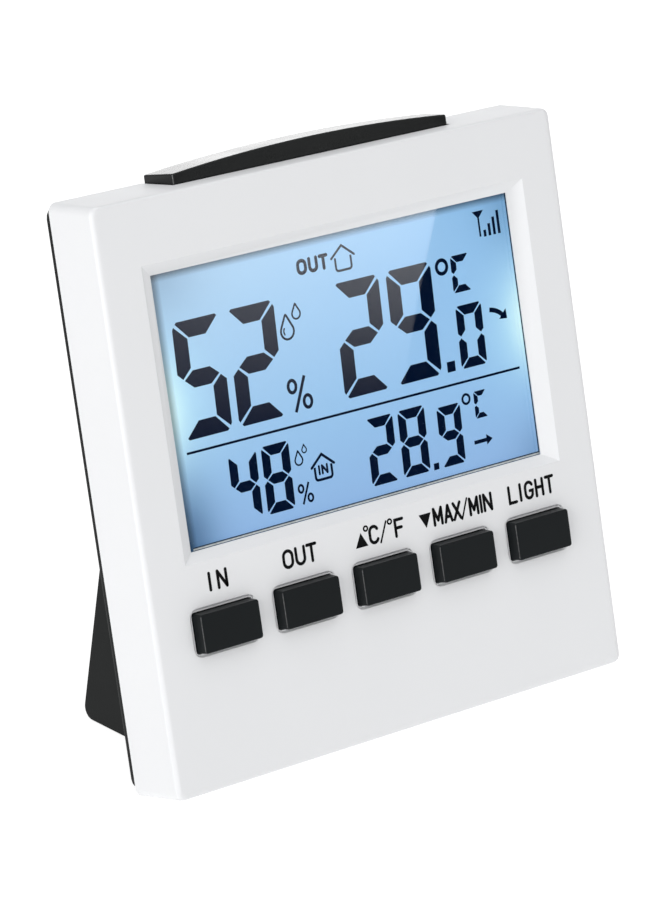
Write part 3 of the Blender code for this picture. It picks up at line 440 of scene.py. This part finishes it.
def backlit_panel():
    """Blue backlight, lit from a lamp at each end, fading into the corners."""
    material, shader = new_material("backlit_panel")
    tree = material.node_tree
    x, z = face_position(tree)
    rise = calc(tree, 'DIVIDE', calc(tree, 'SUBTRACT', z, PANEL_BOTTOM), PANEL_HEIGHT)
    side = calc(tree, 'SUBTRACT', 1.0, calc(tree, 'DIVIDE', x, PANEL_REACH))
    lift = calc(tree, 'MULTIPLY', side, calc(tree, 'MULTIPLY', rise, PANEL_PALE_SHARE))
    colour = mix_colour(tree, lift, ramp(tree, rise, PANEL_BLUES), PANEL_PALE)
    for centre, reach, strength in PANEL_CORNERS:
        shade = calc(tree, 'MULTIPLY', spot(tree, x, z, centre, reach), strength)
        colour = mix_colour(tree, shade, colour, CORNER_BLUE)
    for centre in LAMP_PLACES:
        for reach, strength, glow in LAMP_GLOWS:
            share = calc(tree, 'MULTIPLY', spot(tree, x, z, centre, reach), strength)
            colour = mix_colour(tree, share, colour, glow)
    for place, limits, least in ((z, PANEL_TOP_SHADE, PANEL_TOP_LEAST),
                                 (x, PANEL_LEFT_SHADE, PANEL_LEFT_LEAST)):
        fade = rescale(tree, place, limits, (least, 1.0))
        colour = mix_colour(tree, 1.0, colour, fade, 'MULTIPLY')
    unlit = (PANEL_ALBEDO, PANEL_ALBEDO, PANEL_ALBEDO, 1.0)
    mottle = vary(tree, noise(tree, MOTTLE_SCALE, 2.0), 1.0, MOTTLE_SPREAD)
    set_inputs(tree, shader, {"Base Color": mix_colour(tree, 1.0, colour, unlit, 'MULTIPLY'),
                              "Roughness": 0.35, "Emission Color": colour,
                              "Emission Strength": mottle})
    return material


# ---------------------------------------------------------------- the CAD nodes' finish
# A plastic's numbers are its colour, roughness, grain in cells per metre and grain depth in metres.
MATERIALS = {
    "shell_white": white_shell(),
    "shell_black": black_shell(),
    "key_black": black_key(),
    "lens_clear": clear_lens(),
    "display_glass": backlit_panel(),
    "guide_clear": moulded_plastic("light_guide", (0.75, 0.85, 0.92), 0.25, 1500.0, 0.00001),
    "reflector_white": moulded_plastic("reflector", (0.90, 0.90, 0.90), 0.40, 1500.0, 0.00001),
    "led_lens": moulded_plastic("led_resin", (0.90, 0.86, 0.55), 0.25, 1500.0, 0.00001),
    "rubber_grey": moulded_plastic("strip_rubber", (0.20, 0.20, 0.21), 0.75, 2500.0, 0.00002),
    "board_green": circuit_board(),
    "epoxy_black": moulded_plastic("epoxy", (0.012, 0.012, 0.012), 0.40, 800.0, 0.00004),
    "bright_steel": brushed_metal("nickel_plate", (0.60, 0.60, 0.61), 0.28),
    "brass_wire": brushed_metal("brass", (0.70, 0.52, 0.22), 0.30),
    "cell_wrap": moulded_plastic("cell_sleeve", (0.05, 0.16, 0.30), 0.30, 900.0, 0.00001),
    "wire_red": moulded_plastic("red_insulation", (0.45, 0.02, 0.02), 0.45, 1500.0, 0.00001),
    "wire_black": moulded_plastic("black_insulation", (0.02, 0.02, 0.02), 0.45, 1500.0, 0.00001),
    "ribbon_grey": moulded_plastic("ribbon", (0.40, 0.41, 0.43), 0.5, 1500.0, 0.00002),
}
KEYS = [part["node"] for part in frame["record"]["subparts"]
        if part["material_slot"] == "key_black" and part["node"].startswith("key_")]
# Bevel width, and where they differ from the usual: its segments, the least angle between
# faces that it rounds, and the least angle that stays a crease, both in degrees.
SOFTENING = {
    "front_case": dict(width=0.08, angle=60.0, crease=31.0),
    "rear_cover": dict(width=0.15, segments=3, angle=60.0, crease=27.0),
    "stand": dict(width=0.15),
    "light_bar": dict(width=0.12, segments=3, crease=27.0),
    "battery_door": dict(width=0.15),
}
KEY_SOFTENING = dict(width=0.08, segments=3, crease=27.0)
WELD_DISTANCE = 0.00001        # metres


def paint_cad_nodes():
    """Give every CAD node the procedural material of its slot."""
    for part in frame["record"]["subparts"]:
        node = frame["nodes"][part["node"]]
        node.data.materials.clear()
        node.data.materials.append(MATERIALS[part["material_slot"]])
    frame["nodes"]["light_bar"].data.materials[0] = black_bar()


def soften(node, width, segments=2, angle=35.0, crease=None):
    """Merge a CAD node's facets, round its sharp edges and shade it smooth between creases."""
    piece = frame["nodes"][node]
    for face in piece.data.polygons:
        face.use_smooth = True
    weld = piece.modifiers.new("weld", 'WELD')
    weld.merge_threshold = WELD_DISTANCE
    rounding = piece.modifiers.new("rounding", 'BEVEL')
    rounding.width = width * MM
    rounding.segments = segments
    rounding.limit_method = 'ANGLE'
    rounding.angle_limit = math.radians(angle)
    rounding.harden_normals = True
    rounding.use_clamp_overlap = True
    if crease is not None:
        split = piece.modifiers.new("creases", 'EDGE_SPLIT')
        split.split_angle = math.radians(crease)
        split.use_edge_sharp = False
    flats = piece.modifiers.new("flats", 'WEIGHTED_NORMAL')
    flats.mode = 'FACE_AREA'
    flats.weight = 100


# ---------------------------------------------------------------- flat marks
INK_THICKNESS = 0.02
MERGE_DISTANCE = 0.001
MITRE_LIMIT = 0.5              # a sharper corner than this cosine is cut short


def arc(centre, radii, start, end, steps):
    """Points of an ellipse arc over the face; angles in degrees from +x."""
    points = []
    for step in range(steps + 1):
        angle = math.radians(start + (end - start) * step / steps)
        points.append((centre[0] + radii[0] * math.cos(angle),
                       centre[1] + radii[1] * math.sin(angle)))
    return points


def rectangle(left, bottom, right, top):
    return [(left, bottom), (right, bottom), (right, top), (left, top)]


def rounded_box(centre, half, radius):
    """Outline of an upright rectangle with round corners."""
    points = []
    for quarter, (sign_x, sign_z) in enumerate(((1, 1), (-1, 1), (-1, -1), (1, -1))):
        corner = (centre[0] + sign_x * (half[0] - radius), centre[1] + sign_z * (half[1] - radius))
        points += arc(corner, (radius, radius), 90 * quarter, 90 * quarter + 90, 4)
    return points


class Print:
    """A thin layer of marks on a plane of the face, gathered into one piece."""

    def __init__(self, level, thickness=INK_THICKNESS, shift=(0.0, 0.0)):
        self.bm = bmesh.new()
        self.level = level
        self.thickness = thickness
        self.shift = shift

    def area(self, points):
        """A filled outline."""
        verts = [self.bm.verts.new((x + self.shift[0], self.level, z + self.shift[1]))
                 for x, z in points]
        self.bm.faces.new(verts)

    def ring(self, inner, outer):
        """A band between two closed lines with as many points each."""
        count = len(inner)
        for index in range(count):
            after = (index + 1) % count
            self.area([inner[index], inner[after], outer[after], outer[index]])

    def oval(self, centre, radii, width, steps=20):
        """An oval line; radii go to the middle of its width."""
        half = width / 2
        inner = arc(centre, (radii[0] - half, radii[1] - half), 0, 360, steps)[:-1]
        outer = arc(centre, (radii[0] + half, radii[1] + half), 0, 360, steps)[:-1]
        self.ring(inner, outer)

    def line(self, points, width, closed=False, round_ends=True):
        """A stroke of even width along a line."""
        half = width / 2
        left, right = [], []
        count = len(points)
        for index in range(count):
            here = Vector(points[index])
            ways = []
            if closed or index:
                ways.append((here - Vector(points[index - 1])).normalized())
            if closed or index < count - 1:
                ways.append((Vector(points[(index + 1) % count]) - here).normalized())
            way = sum(ways, Vector((0.0, 0.0))).normalized()
            stretch = 1.0 / max(MITRE_LIMIT, way.dot(ways[0]))
            side = Vector((-way.y, way.x)) * half * stretch
            left.append(tuple(here + side))
            right.append(tuple(here - side))
        for index in range(count if closed else count - 1):
            after = (index + 1) % count
            self.area([left[index], right[index], right[after], left[after]])
        if round_ends and not closed:
            for tip, inward in ((points[0], points[1]), (points[-1], points[-2])):
                back = Vector(tip) - Vector(inward)
                turn = math.degrees(math.atan2(back.y, back.x))
                self.area(arc(tip, (half, half), turn - 90, turn + 90, 6))

    def build(self, name, material, body, slot_name):
        """Merge the marks, give them their thickness, and place them on the object."""
        bmesh.ops.remove_doubles(self.bm, verts=self.bm.verts, dist=MERGE_DISTANCE)
        bmesh.ops.recalc_face_normals(self.bm, faces=self.bm.faces)
        grown = bmesh.ops.extrude_face_region(self.bm, geom=self.bm.faces[:])
        moved = [part for part in grown["geom"] if isinstance(part, bmesh.types.BMVert)]
        bmesh.ops.translate(self.bm, verts=moved, vec=(0.0, -self.thickness, 0.0))
        bmesh.ops.recalc_face_normals(self.bm, faces=self.bm.faces)
        self.bm.transform(FACE)
        piece = new_object(name, self.bm)
        piece.data.materials.append(material)
        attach(piece, body)


# ---------------------------------------------------------------- lettering
def strokes(*points):
    """Straight strokes from point to point, for letters with sharp corners."""
    return [([start, end], False) for start, end in zip(points, points[1:])]


LOW_HALF = arc((0.5, 0.32), (0.5, 0.32), 180, 360, 8)
HIGH_HALF = arc((0.5, 0.68), (0.5, 0.32), 0, 180, 8)
BOWL = arc((0.5, 0.68), (0.5, 0.32), 25, 180, 7) + arc((0.5, 0.32), (0.5, 0.32), 180, 335, 7)
# The strokes of each letter in a unit box, each as (points, closed).
GLYPHS = {
    "I": strokes((0.5, 0), (0.5, 1)),
    "N": strokes((0, 0), (0, 1), (1, 0), (1, 1)),
    "O": [(HIGH_HALF + LOW_HALF, True)],
    "U": [([(0, 1)] + LOW_HALF + [(1, 1)], False)],
    "T": strokes((0, 1), (1, 1)) + strokes((0.5, 1), (0.5, 0)),
    "C": [(BOWL, False)],
    "F": [([(1, 1), (0, 1), (0, 0)], False)] + strokes((0, 0.5), (0.8, 0.5)),
    "M": strokes((0, 0), (0, 1), (0.5, 0.25), (1, 1), (1, 0)),
    "A": strokes((0, 0), (0.5, 1), (1, 0)) + strokes((0.17, 0.3), (0.83, 0.3)),
    "X": strokes((0, 0), (1, 1)) + strokes((0, 1), (1, 0)),
    "L": [([(0, 1), (0, 0), (1, 0)], False)],
    "G": [(BOWL + [(1.0, 0.45), (0.62, 0.45)], False)],
    "H": strokes((0, 0), (0, 1)) + strokes((1, 0), (1, 1)) + strokes((0, 0.52), (1, 0.52)),
    "/": strokes((0, -0.1), (1, 1.1)),
}
SLASH_SHARE = 0.6              # a slash's stroke beside a letter's


def write(marks, letters, bottom, top, width):
    """Draw letters; each is (letter, left, right) along the face."""
    for letter, left, right in letters:
        stroke = SLASH_SHARE * width if letter == "/" else width
        for points, closed in GLYPHS[letter]:
            line = [(left + (right - left) * x, bottom + (top - bottom) * z) for x, z in points]
            marks.line(line, stroke, closed)


# ---------------------------------------------------------------- the display's marks
# The bars of each sign in use: a to f clockwise from the top, g across the middle.
SEGMENTS = {"0": "abcdef", "2": "abdeg", "4": "bcfg", "5": "acdfg", "8": "abcdefg", "9": "abcdfg",
            "C": "adef"}
DISPLAY_SHIFT = (0.28, -0.08)
DISPLAY_SLANT = 0.032
POINT_SLANT = 0.06             # how far a decimal point's top leans over
# The parts of a percent sign, as shares of its width and height.
PERCENT_RINGS = ((0.222, 0.768), (0.806, 0.228))
PERCENT_RADII = (0.166, 0.185)
PERCENT_SLASH = ((0.25, -0.02), (0.79, 1.01))
DROP_NECK = 0.12               # half the width of a drop's neck, as a share of its radius
DROP_TIP = 0.15                # how far that neck lies below the tip
HOUSE_CORNER = 0.5
SIGNAL_BARS = 4
SIGNAL_LEFT = 78.1
SIGNAL_BOTTOM = 74.95
SIGNAL_TOP = 76.05             # of the lowest bar
SIGNAL_PITCH = 1.02
SIGNAL_RISE = 0.92
SIGNAL_WIDTH = 0.55


def segment_outline(letter, width, height, stroke):
    """Outline of one of the seven bars of a digit, upright, from its lower left corner."""
    middle = height / 2
    near, far, tip = 0.22 * stroke, 0.11 * stroke, 0.11 * stroke
    if letter in "ad":
        points = [(near, height - tip), (near + tip, height), (width - near - tip, height),
                  (width - near, height - tip), (width - stroke - far, height - stroke),
                  (stroke + far, height - stroke)]
        flip_x, flip_z = False, letter == "d"
    elif letter == "g":
        half = stroke / 2
        points = [(0.47 * stroke, middle), (1.1 * stroke, middle + half),
                  (width - 1.1 * stroke, middle + half), (width - 0.47 * stroke, middle),
                  (width - 1.1 * stroke, middle - half), (1.1 * stroke, middle - half)]
        flip_x, flip_z = False, False
    else:
        points = [(0.09 * stroke, height - 0.26 * stroke), (stroke - 0.02, height - 1.06 * stroke),
                  (stroke, middle + 0.66 * stroke), (0.38 * stroke, middle + 0.09 * stroke),
                  (0.0, middle + 0.42 * stroke), (0.0, height - 0.42 * stroke)]
        flip_x, flip_z = letter in "bc", letter in "ce"
    if flip_x:
        points = [(width - x, z) for x, z in points]
    if flip_z:
        points = [(x, height - z) for x, z in points]
    return points


def digits(marks, places, bottom, width, height, stroke):
    """Slanted seven-segment digits of one size; places are (digit, left)."""
    for value, left in places:
        for letter in SEGMENTS[value]:
            outline = segment_outline(letter, width, height, stroke)
            marks.area([(left + x + DISPLAY_SLANT * z, bottom + z) for x, z in outline])


def decimal_point(marks, left, bottom, size):
    marks.area([(left, bottom), (left + size, bottom),
                (left + size + POINT_SLANT, bottom + size), (left + POINT_SLANT, bottom + size)])


def drop(marks, x, tip_z, low_z, radius, width):
    """A water drop: a round bottom whose sides run up to a tip."""
    points = arc((x, low_z + radius), (radius, radius), -215, 35, 16)
    neck = DROP_NECK * radius
    marks.line(points + [(x + neck, tip_z - DROP_TIP), (x, tip_z)], width)
    marks.line([points[0], (x - neck, tip_z - DROP_TIP), (x, tip_z)], width)


def percent(marks, left, bottom, width, height, stroke):
    """A percent sign."""
    for x, z in PERCENT_RINGS:
        marks.oval((left + x * width, bottom + z * height),
                   (PERCENT_RADII[0] * width, PERCENT_RADII[1] * height), stroke)
    marks.line([(left + x * width, bottom + z * height) for x, z in PERCENT_SLASH], stroke,
               round_ends=False)


def house(marks, x, apex_z, eave_z, half_roof, half_wall, bottom, stroke):
    """A house: a roof line over an open-topped box with round lower corners."""
    marks.line([(x - half_roof, eave_z), (x, apex_z), (x + half_roof, eave_z)], stroke)
    radii = (HOUSE_CORNER, HOUSE_CORNER)
    low, inner = bottom + HOUSE_CORNER, half_wall - HOUSE_CORNER
    walls = [(x - half_wall, eave_z)]
    walls += arc((x - inner, low), radii, 180, 270, 4)
    walls += arc((x + inner, low), radii, 270, 360, 4)
    walls += [(x + half_wall, eave_z)]
    marks.line(walls, stroke, round_ends=False)


def display_print():
    return Print(front_depth("lcd_panel"), shift=DISPLAY_SHIFT)


def outdoor_digits(panel_ink):
    """Outdoor humidity and temperature, above the line."""
    marks = display_print()
    digits(marks, (("5", 12.75), ("2", 23.53), ("2", 45.08), ("9", 56.05)),
           bottom=54.52, width=9.4, height=18.65, stroke=2.75)
    decimal_point(marks, left=66.66, bottom=54.5, size=1.72)
    digits(marks, (("0", 69.68),), bottom=54.45, width=5.5, height=10.35, stroke=1.62)
    marks.oval(centre=(68.35, 71.75), radii=(1.1, 1.12), width=0.62)
    digits(marks, (("C", 70.14),), bottom=66.98, width=3.9, height=6.1, stroke=1.15)
    marks.build("display_outdoor_digits", panel_ink, "housing", "display_glass")


def indoor_digits(panel_ink):
    """Indoor humidity and temperature, below the line."""
    marks = display_print()
    digits(marks, (("4", 20.07), ("8", 26.63)),
           bottom=39.65, width=5.55, height=10.9, stroke=1.65)
    digits(marks, (("2", 48.08), ("8", 54.76)),
           bottom=39.5, width=5.6, height=10.95, stroke=1.62)
    decimal_point(marks, left=61.1, bottom=39.4, size=1.1)
    digits(marks, (("9", 62.9),), bottom=39.4, width=5.0, height=9.9, stroke=1.55)
    marks.oval(centre=(69.67, 49.5), radii=(0.76, 0.78), width=0.42)
    digits(marks, (("C", 71.2),), bottom=45.85, width=2.7, height=4.5, stroke=0.85)
    marks.build("display_indoor_digits", panel_ink, "housing", "display_glass")


def dividing_line(marks):
    marks.area([(12.7, 52.36), (81.85, 52.13), (81.85, 52.52), (12.7, 52.75)])


def humidity_signs(marks):
    """A percent sign and two drops beside each humidity; the biggest drop has a glint."""
    percent(marks, left=33.8, bottom=54.65, width=4.7, height=5.35, stroke=0.56)
    percent(marks, left=33.1, bottom=39.85, width=2.9, height=3.25, stroke=0.38)
    drop(marks, x=35.5, tip_z=70.25, low_z=66.3, radius=1.3, width=0.36)
    drop(marks, x=37.68, tip_z=71.65, low_z=69.2, radius=0.82, width=0.3)
    marks.line(arc((35.5, 67.6), (0.72, 0.8), 140, 215, 5), width=0.26)
    drop(marks, x=34.12, tip_z=48.45, low_z=46.15, radius=0.76, width=0.27)
    drop(marks, x=35.45, tip_z=49.25, low_z=47.9, radius=0.46, width=0.21)


def place_signs(marks):
    """A house with OUT beside it, and a house with IN inside it."""
    house(marks, x=48.5, apex_z=79.05, eave_z=77.22, half_roof=2.35, half_wall=1.6, bottom=75.07,
          stroke=0.38)
    house(marks, x=38.7, apex_z=46.96, eave_z=45.08, half_roof=2.3, half_wall=1.7, bottom=42.93,
          stroke=0.44)
    write(marks, [("O", 39.33, 40.83), ("U", 41.68, 43.1), ("T", 43.85, 45.22)],
          bottom=76.1, top=78.12, width=0.58)
    write(marks, [("I", 37.88, 37.88), ("N", 38.5, 39.5)], bottom=43.85, top=45.15, width=0.38)


def signal_sign(marks):
    """An antenna, and bars that rise beside it."""
    marks.area([(76.15, 79.35), (77.35, 78.1), (78.6, 79.35)])
    marks.line([(77.35, 75.1), (77.35, 78.6)], width=0.36, round_ends=False)
    for index in range(SIGNAL_BARS):
        left = SIGNAL_LEFT + SIGNAL_PITCH * index
        top = SIGNAL_TOP + SIGNAL_RISE * index
        marks.area(rectangle(left, SIGNAL_BOTTOM, left + SIGNAL_WIDTH, top))


def trend_arrows(marks):
    """A bent arrow beside the outdoor temperature, and a level one beside the indoor one."""
    marks.line(arc((76.58, 58.84), (4.3, 4.1), 83, 42, 6), width=0.78, round_ends=False)
    marks.area([(80.53, 62.54), (80.63, 60.89), (78.93, 61.04)])
    marks.line([(70.2, 42.05), (73.0, 42.05)], width=0.62, round_ends=False)
    marks.area([(72.85, 42.95), (72.85, 41.2), (74.15, 42.05)])


def display_signs(panel_ink):
    """Every mark of the display but its digits."""
    marks = display_print()
    for draw in (dividing_line, humidity_signs, place_signs, signal_sign, trend_arrows):
        draw(marks)
    marks.build("display_signs", panel_ink, "housing", "display_glass")


# ---------------------------------------------------------------- round the keys and the window
LEGEND_BOTTOM = 31.15
LEGEND_TOP = 33.8
LEGEND_STROKE = 0.52
LEGEND_THICKNESS = 0.03
LEGENDS = {
    "legend_in": [("I", 11.7, 11.7), ("N", 13.35, 14.97)],
    "legend_out": [("O", 26.5, 28.25), ("U", 29.05, 30.7), ("T", 31.35, 33.05)],
    "legend_up_units": [("C", 44.2, 45.85), ("/", 46.25, 47.75), ("F", 49.55, 51.1)],
    "legend_down_max_min": [("M", 57.7, 59.3), ("A", 60.0, 61.4), ("X", 61.9, 63.3),
                            ("/", 63.5, 64.9), ("M", 65.4, 67.0), ("I", 67.75, 67.75),
                            ("N", 68.45, 69.95)],
    "legend_light": [("L", 73.9, 75.35), ("I", 76.35, 76.35), ("G", 77.45, 79.0),
                     ("H", 79.8, 81.2), ("T", 82.0, 83.5)],
}
LEGEND_ARROWS = {
    "legend_up_units": [(41.06, 31.0), (43.6, 31.0), (42.35, 33.3)],
    "legend_down_max_min": [(54.6, 33.45), (57.1, 33.45), (55.9, 31.1)],
}
LEGEND_DEGREES = {"legend_up_units": ((43.5, 33.8), (48.5, 33.83))}
DEGREE_RADII = (0.4, 0.38)
DEGREE_STROKE = 0.3
RIM_LEFT = 11.0
RIM_RIGHT = 83.35
RIM_TOP = 81.3
RIM_RIGHT_WIDTH = 0.25
LIP_LINE = (37.44, 37.7)       # bottom and top of the window's pale lip
UPPER_SHADOW = (37.7, 37.92)   # and of the shadow lines over and under it
LOWER_SHADOW = (37.34, 37.44)
KEY_HALF = (5.9, 3.28)         # half the width and height of a key's cap
KEY_GAP = 0.3                  # between a key and its opening
KEY_CORNER = 0.45
LIP_CLEARANCE = 0.1            # left between a key and the lip around it
LIP_DEPTH = (0.3, 1.2)         # front and back of that lip


def key_legends():
    """The plain words and signs printed over the keys."""
    legend_ink = ink("legend_ink", (0.003, 0.003, 0.0035), roughness=0.6)
    for name, letters in LEGENDS.items():
        marks = Print(0.0, LEGEND_THICKNESS)
        write(marks, letters, LEGEND_BOTTOM, LEGEND_TOP, LEGEND_STROKE)
        if name in LEGEND_ARROWS:
            marks.area(LEGEND_ARROWS[name])
        for centre in LEGEND_DEGREES.get(name, ()):
            marks.oval(centre, DEGREE_RADII, DEGREE_STROKE)
        marks.build(name, legend_ink, "housing", "key_black")


def window_rim():
    """The shadow line and the pale lip along the lower and right edges of the display."""
    level = front_depth("window_lens")
    shadow = Print(level)
    shadow.area(rectangle(RIM_LEFT, UPPER_SHADOW[0], RIM_RIGHT, UPPER_SHADOW[1]))
    shadow.area(rectangle(RIM_RIGHT - RIM_RIGHT_WIDTH, UPPER_SHADOW[1], RIM_RIGHT, RIM_TOP))
    shadow.area(rectangle(RIM_LEFT, LOWER_SHADOW[0], RIM_RIGHT, LOWER_SHADOW[1]))
    shadow.build("window_shadow_line", ink("rim_shadow", srgb(52, 66, 84)), "housing",
                 "display_glass")
    lip = Print(level)
    lip.area(rectangle(RIM_LEFT, LIP_LINE[0], RIM_RIGHT, LIP_LINE[1]))
    lip.build("window_lip", ink("rim_lip", srgb(196, 200, 198)), "housing", "display_glass")


def key_lips():
    """The thin moulded lip of the case that closes in on each key."""
    lips = Print(LIP_DEPTH[1], LIP_DEPTH[1] - LIP_DEPTH[0])
    near = [size + LIP_CLEARANCE for size in KEY_HALF]
    far = [size + KEY_GAP for size in KEY_HALF]
    for node in KEYS:
        x = sum(along(node, RIGHT)) / 2 / MM + MIDDLE_X
        z = (sum(along(node, UP)) / 2 - FACE_BOTTOM) / MM
        lips.ring(rounded_box((x, z), near, KEY_CORNER + LIP_CLEARANCE),
                  rounded_box((x, z), far, KEY_CORNER + KEY_GAP))
    lips.build("key_lips", MATERIALS["shell_white"], "housing", "shell_white")


# ---------------------------------------------------------------- the window's reflection
GLARE_OUTLINE = ((69.3, 82.6), (66.3, 76.0), (62.5, 68.0), (58.5, 58.0), (55.0, 49.0),
                 (-30.0, 49.0), (-30.0, 110.0), (80.0, 110.0))
GLARE_DISTANCE = 0.9
GLARE_RADIANCE = 2.2
GLARE_RISE = (50.0, 82.0)      # z over the window where the glare starts and is full
GLARE_RUN = (12.0, 60.0)       # x where it is weakest and full
GLARE_LEAST = 0.4
GLARE_CURVE = 1.3
GLARE_MIDDLE = (46.5, 66.0)
FLAG_OUTLINE = ((-60.0, -20.0), (150.0, -20.0), (150.0, 150.0), (-60.0, 150.0))
FLAG_DISTANCE = 0.95


def bounced(way):
    """A way after it bounces off the face."""
    return way - BACK * (2.0 * way.dot(BACK))


def mirrored(x, z, distance):
    """Where the camera, looking at a point of the window, sees its reflection end."""
    point = FACE @ Vector((x, front_depth("window_lens"), z))
    bounce = bounced((point - CAMERA_PLACE).normalized())
    return point + bounce * (distance / bounce.dot(bounced(VIEW)))


def reflection_card(name, outline, distance):
    """A dark card that only glossy surfaces see, shaped by its outline in the window."""
    bm = bmesh.new()
    bm.faces.new([bm.verts.new(mirrored(x, z, distance)) for x, z in outline])
    card = new_object(name, bm)
    material, shader = new_material(name)
    set_inputs(material.node_tree, shader, {"Base Color": (0.0, 0.0, 0.0, 1.0),
                                            "Specular IOR Level": 0.0,
                                            "Emission Color": (1.0, 1.0, 1.0, 1.0)})
    card.data.materials.append(material)
    card.visible_camera = False
    card.visible_diffuse = False
    card.visible_shadow = False
    return material.node_tree, shader


def add_glare():
    """A card that glows most at its top right, as the window shows it."""
    tree, shader = reflection_card("glare_card", GLARE_OUTLINE, GLARE_DISTANCE)
    place = split_xyz(tree, coordinate(tree, 'Object'))
    heights = [mirrored(GLARE_MIDDLE[0], z, GLARE_DISTANCE).z for z in GLARE_RISE]
    widths = [mirrored(x, GLARE_MIDDLE[1], GLARE_DISTANCE).x for x in GLARE_RUN]
    rise = rescale(tree, place[2], heights)
    run = rescale(tree, place[0], widths, (GLARE_LEAST, 1.0))
    power = calc(tree, 'MULTIPLY', run, GLARE_RADIANCE)
    feed(tree, shader.inputs["Emission Strength"],
         calc(tree, 'MULTIPLY', calc(tree, 'POWER', rise, GLARE_CURVE), power))


# ---------------------------------------------------------------- assembly
def build_looks():
    paint_cad_nodes()
    for node, settings in SOFTENING.items():
        soften(node, **settings)
    for key in KEYS:
        soften(key, **KEY_SOFTENING)
    key_lips()
    panel_ink = ink("display_ink", (0.0005, 0.0025, 0.0060), roughness=0.6,
                    leak=(0.0, 0.003, 0.018))
    outdoor_digits(panel_ink)
    indoor_digits(panel_ink)
    display_signs(panel_ink)
    key_legends()
    window_rim()


bpy.context.scene.view_settings.view_transform = 'Standard'
add_camera()
add_world()
add_floor()
for lamp, settings in LIGHTS.items():
    area_light(lamp, **settings)
build_looks()
add_glare()
reflection_card("dark_flag", FLAG_OUTLINE, FLAG_DISTANCE)
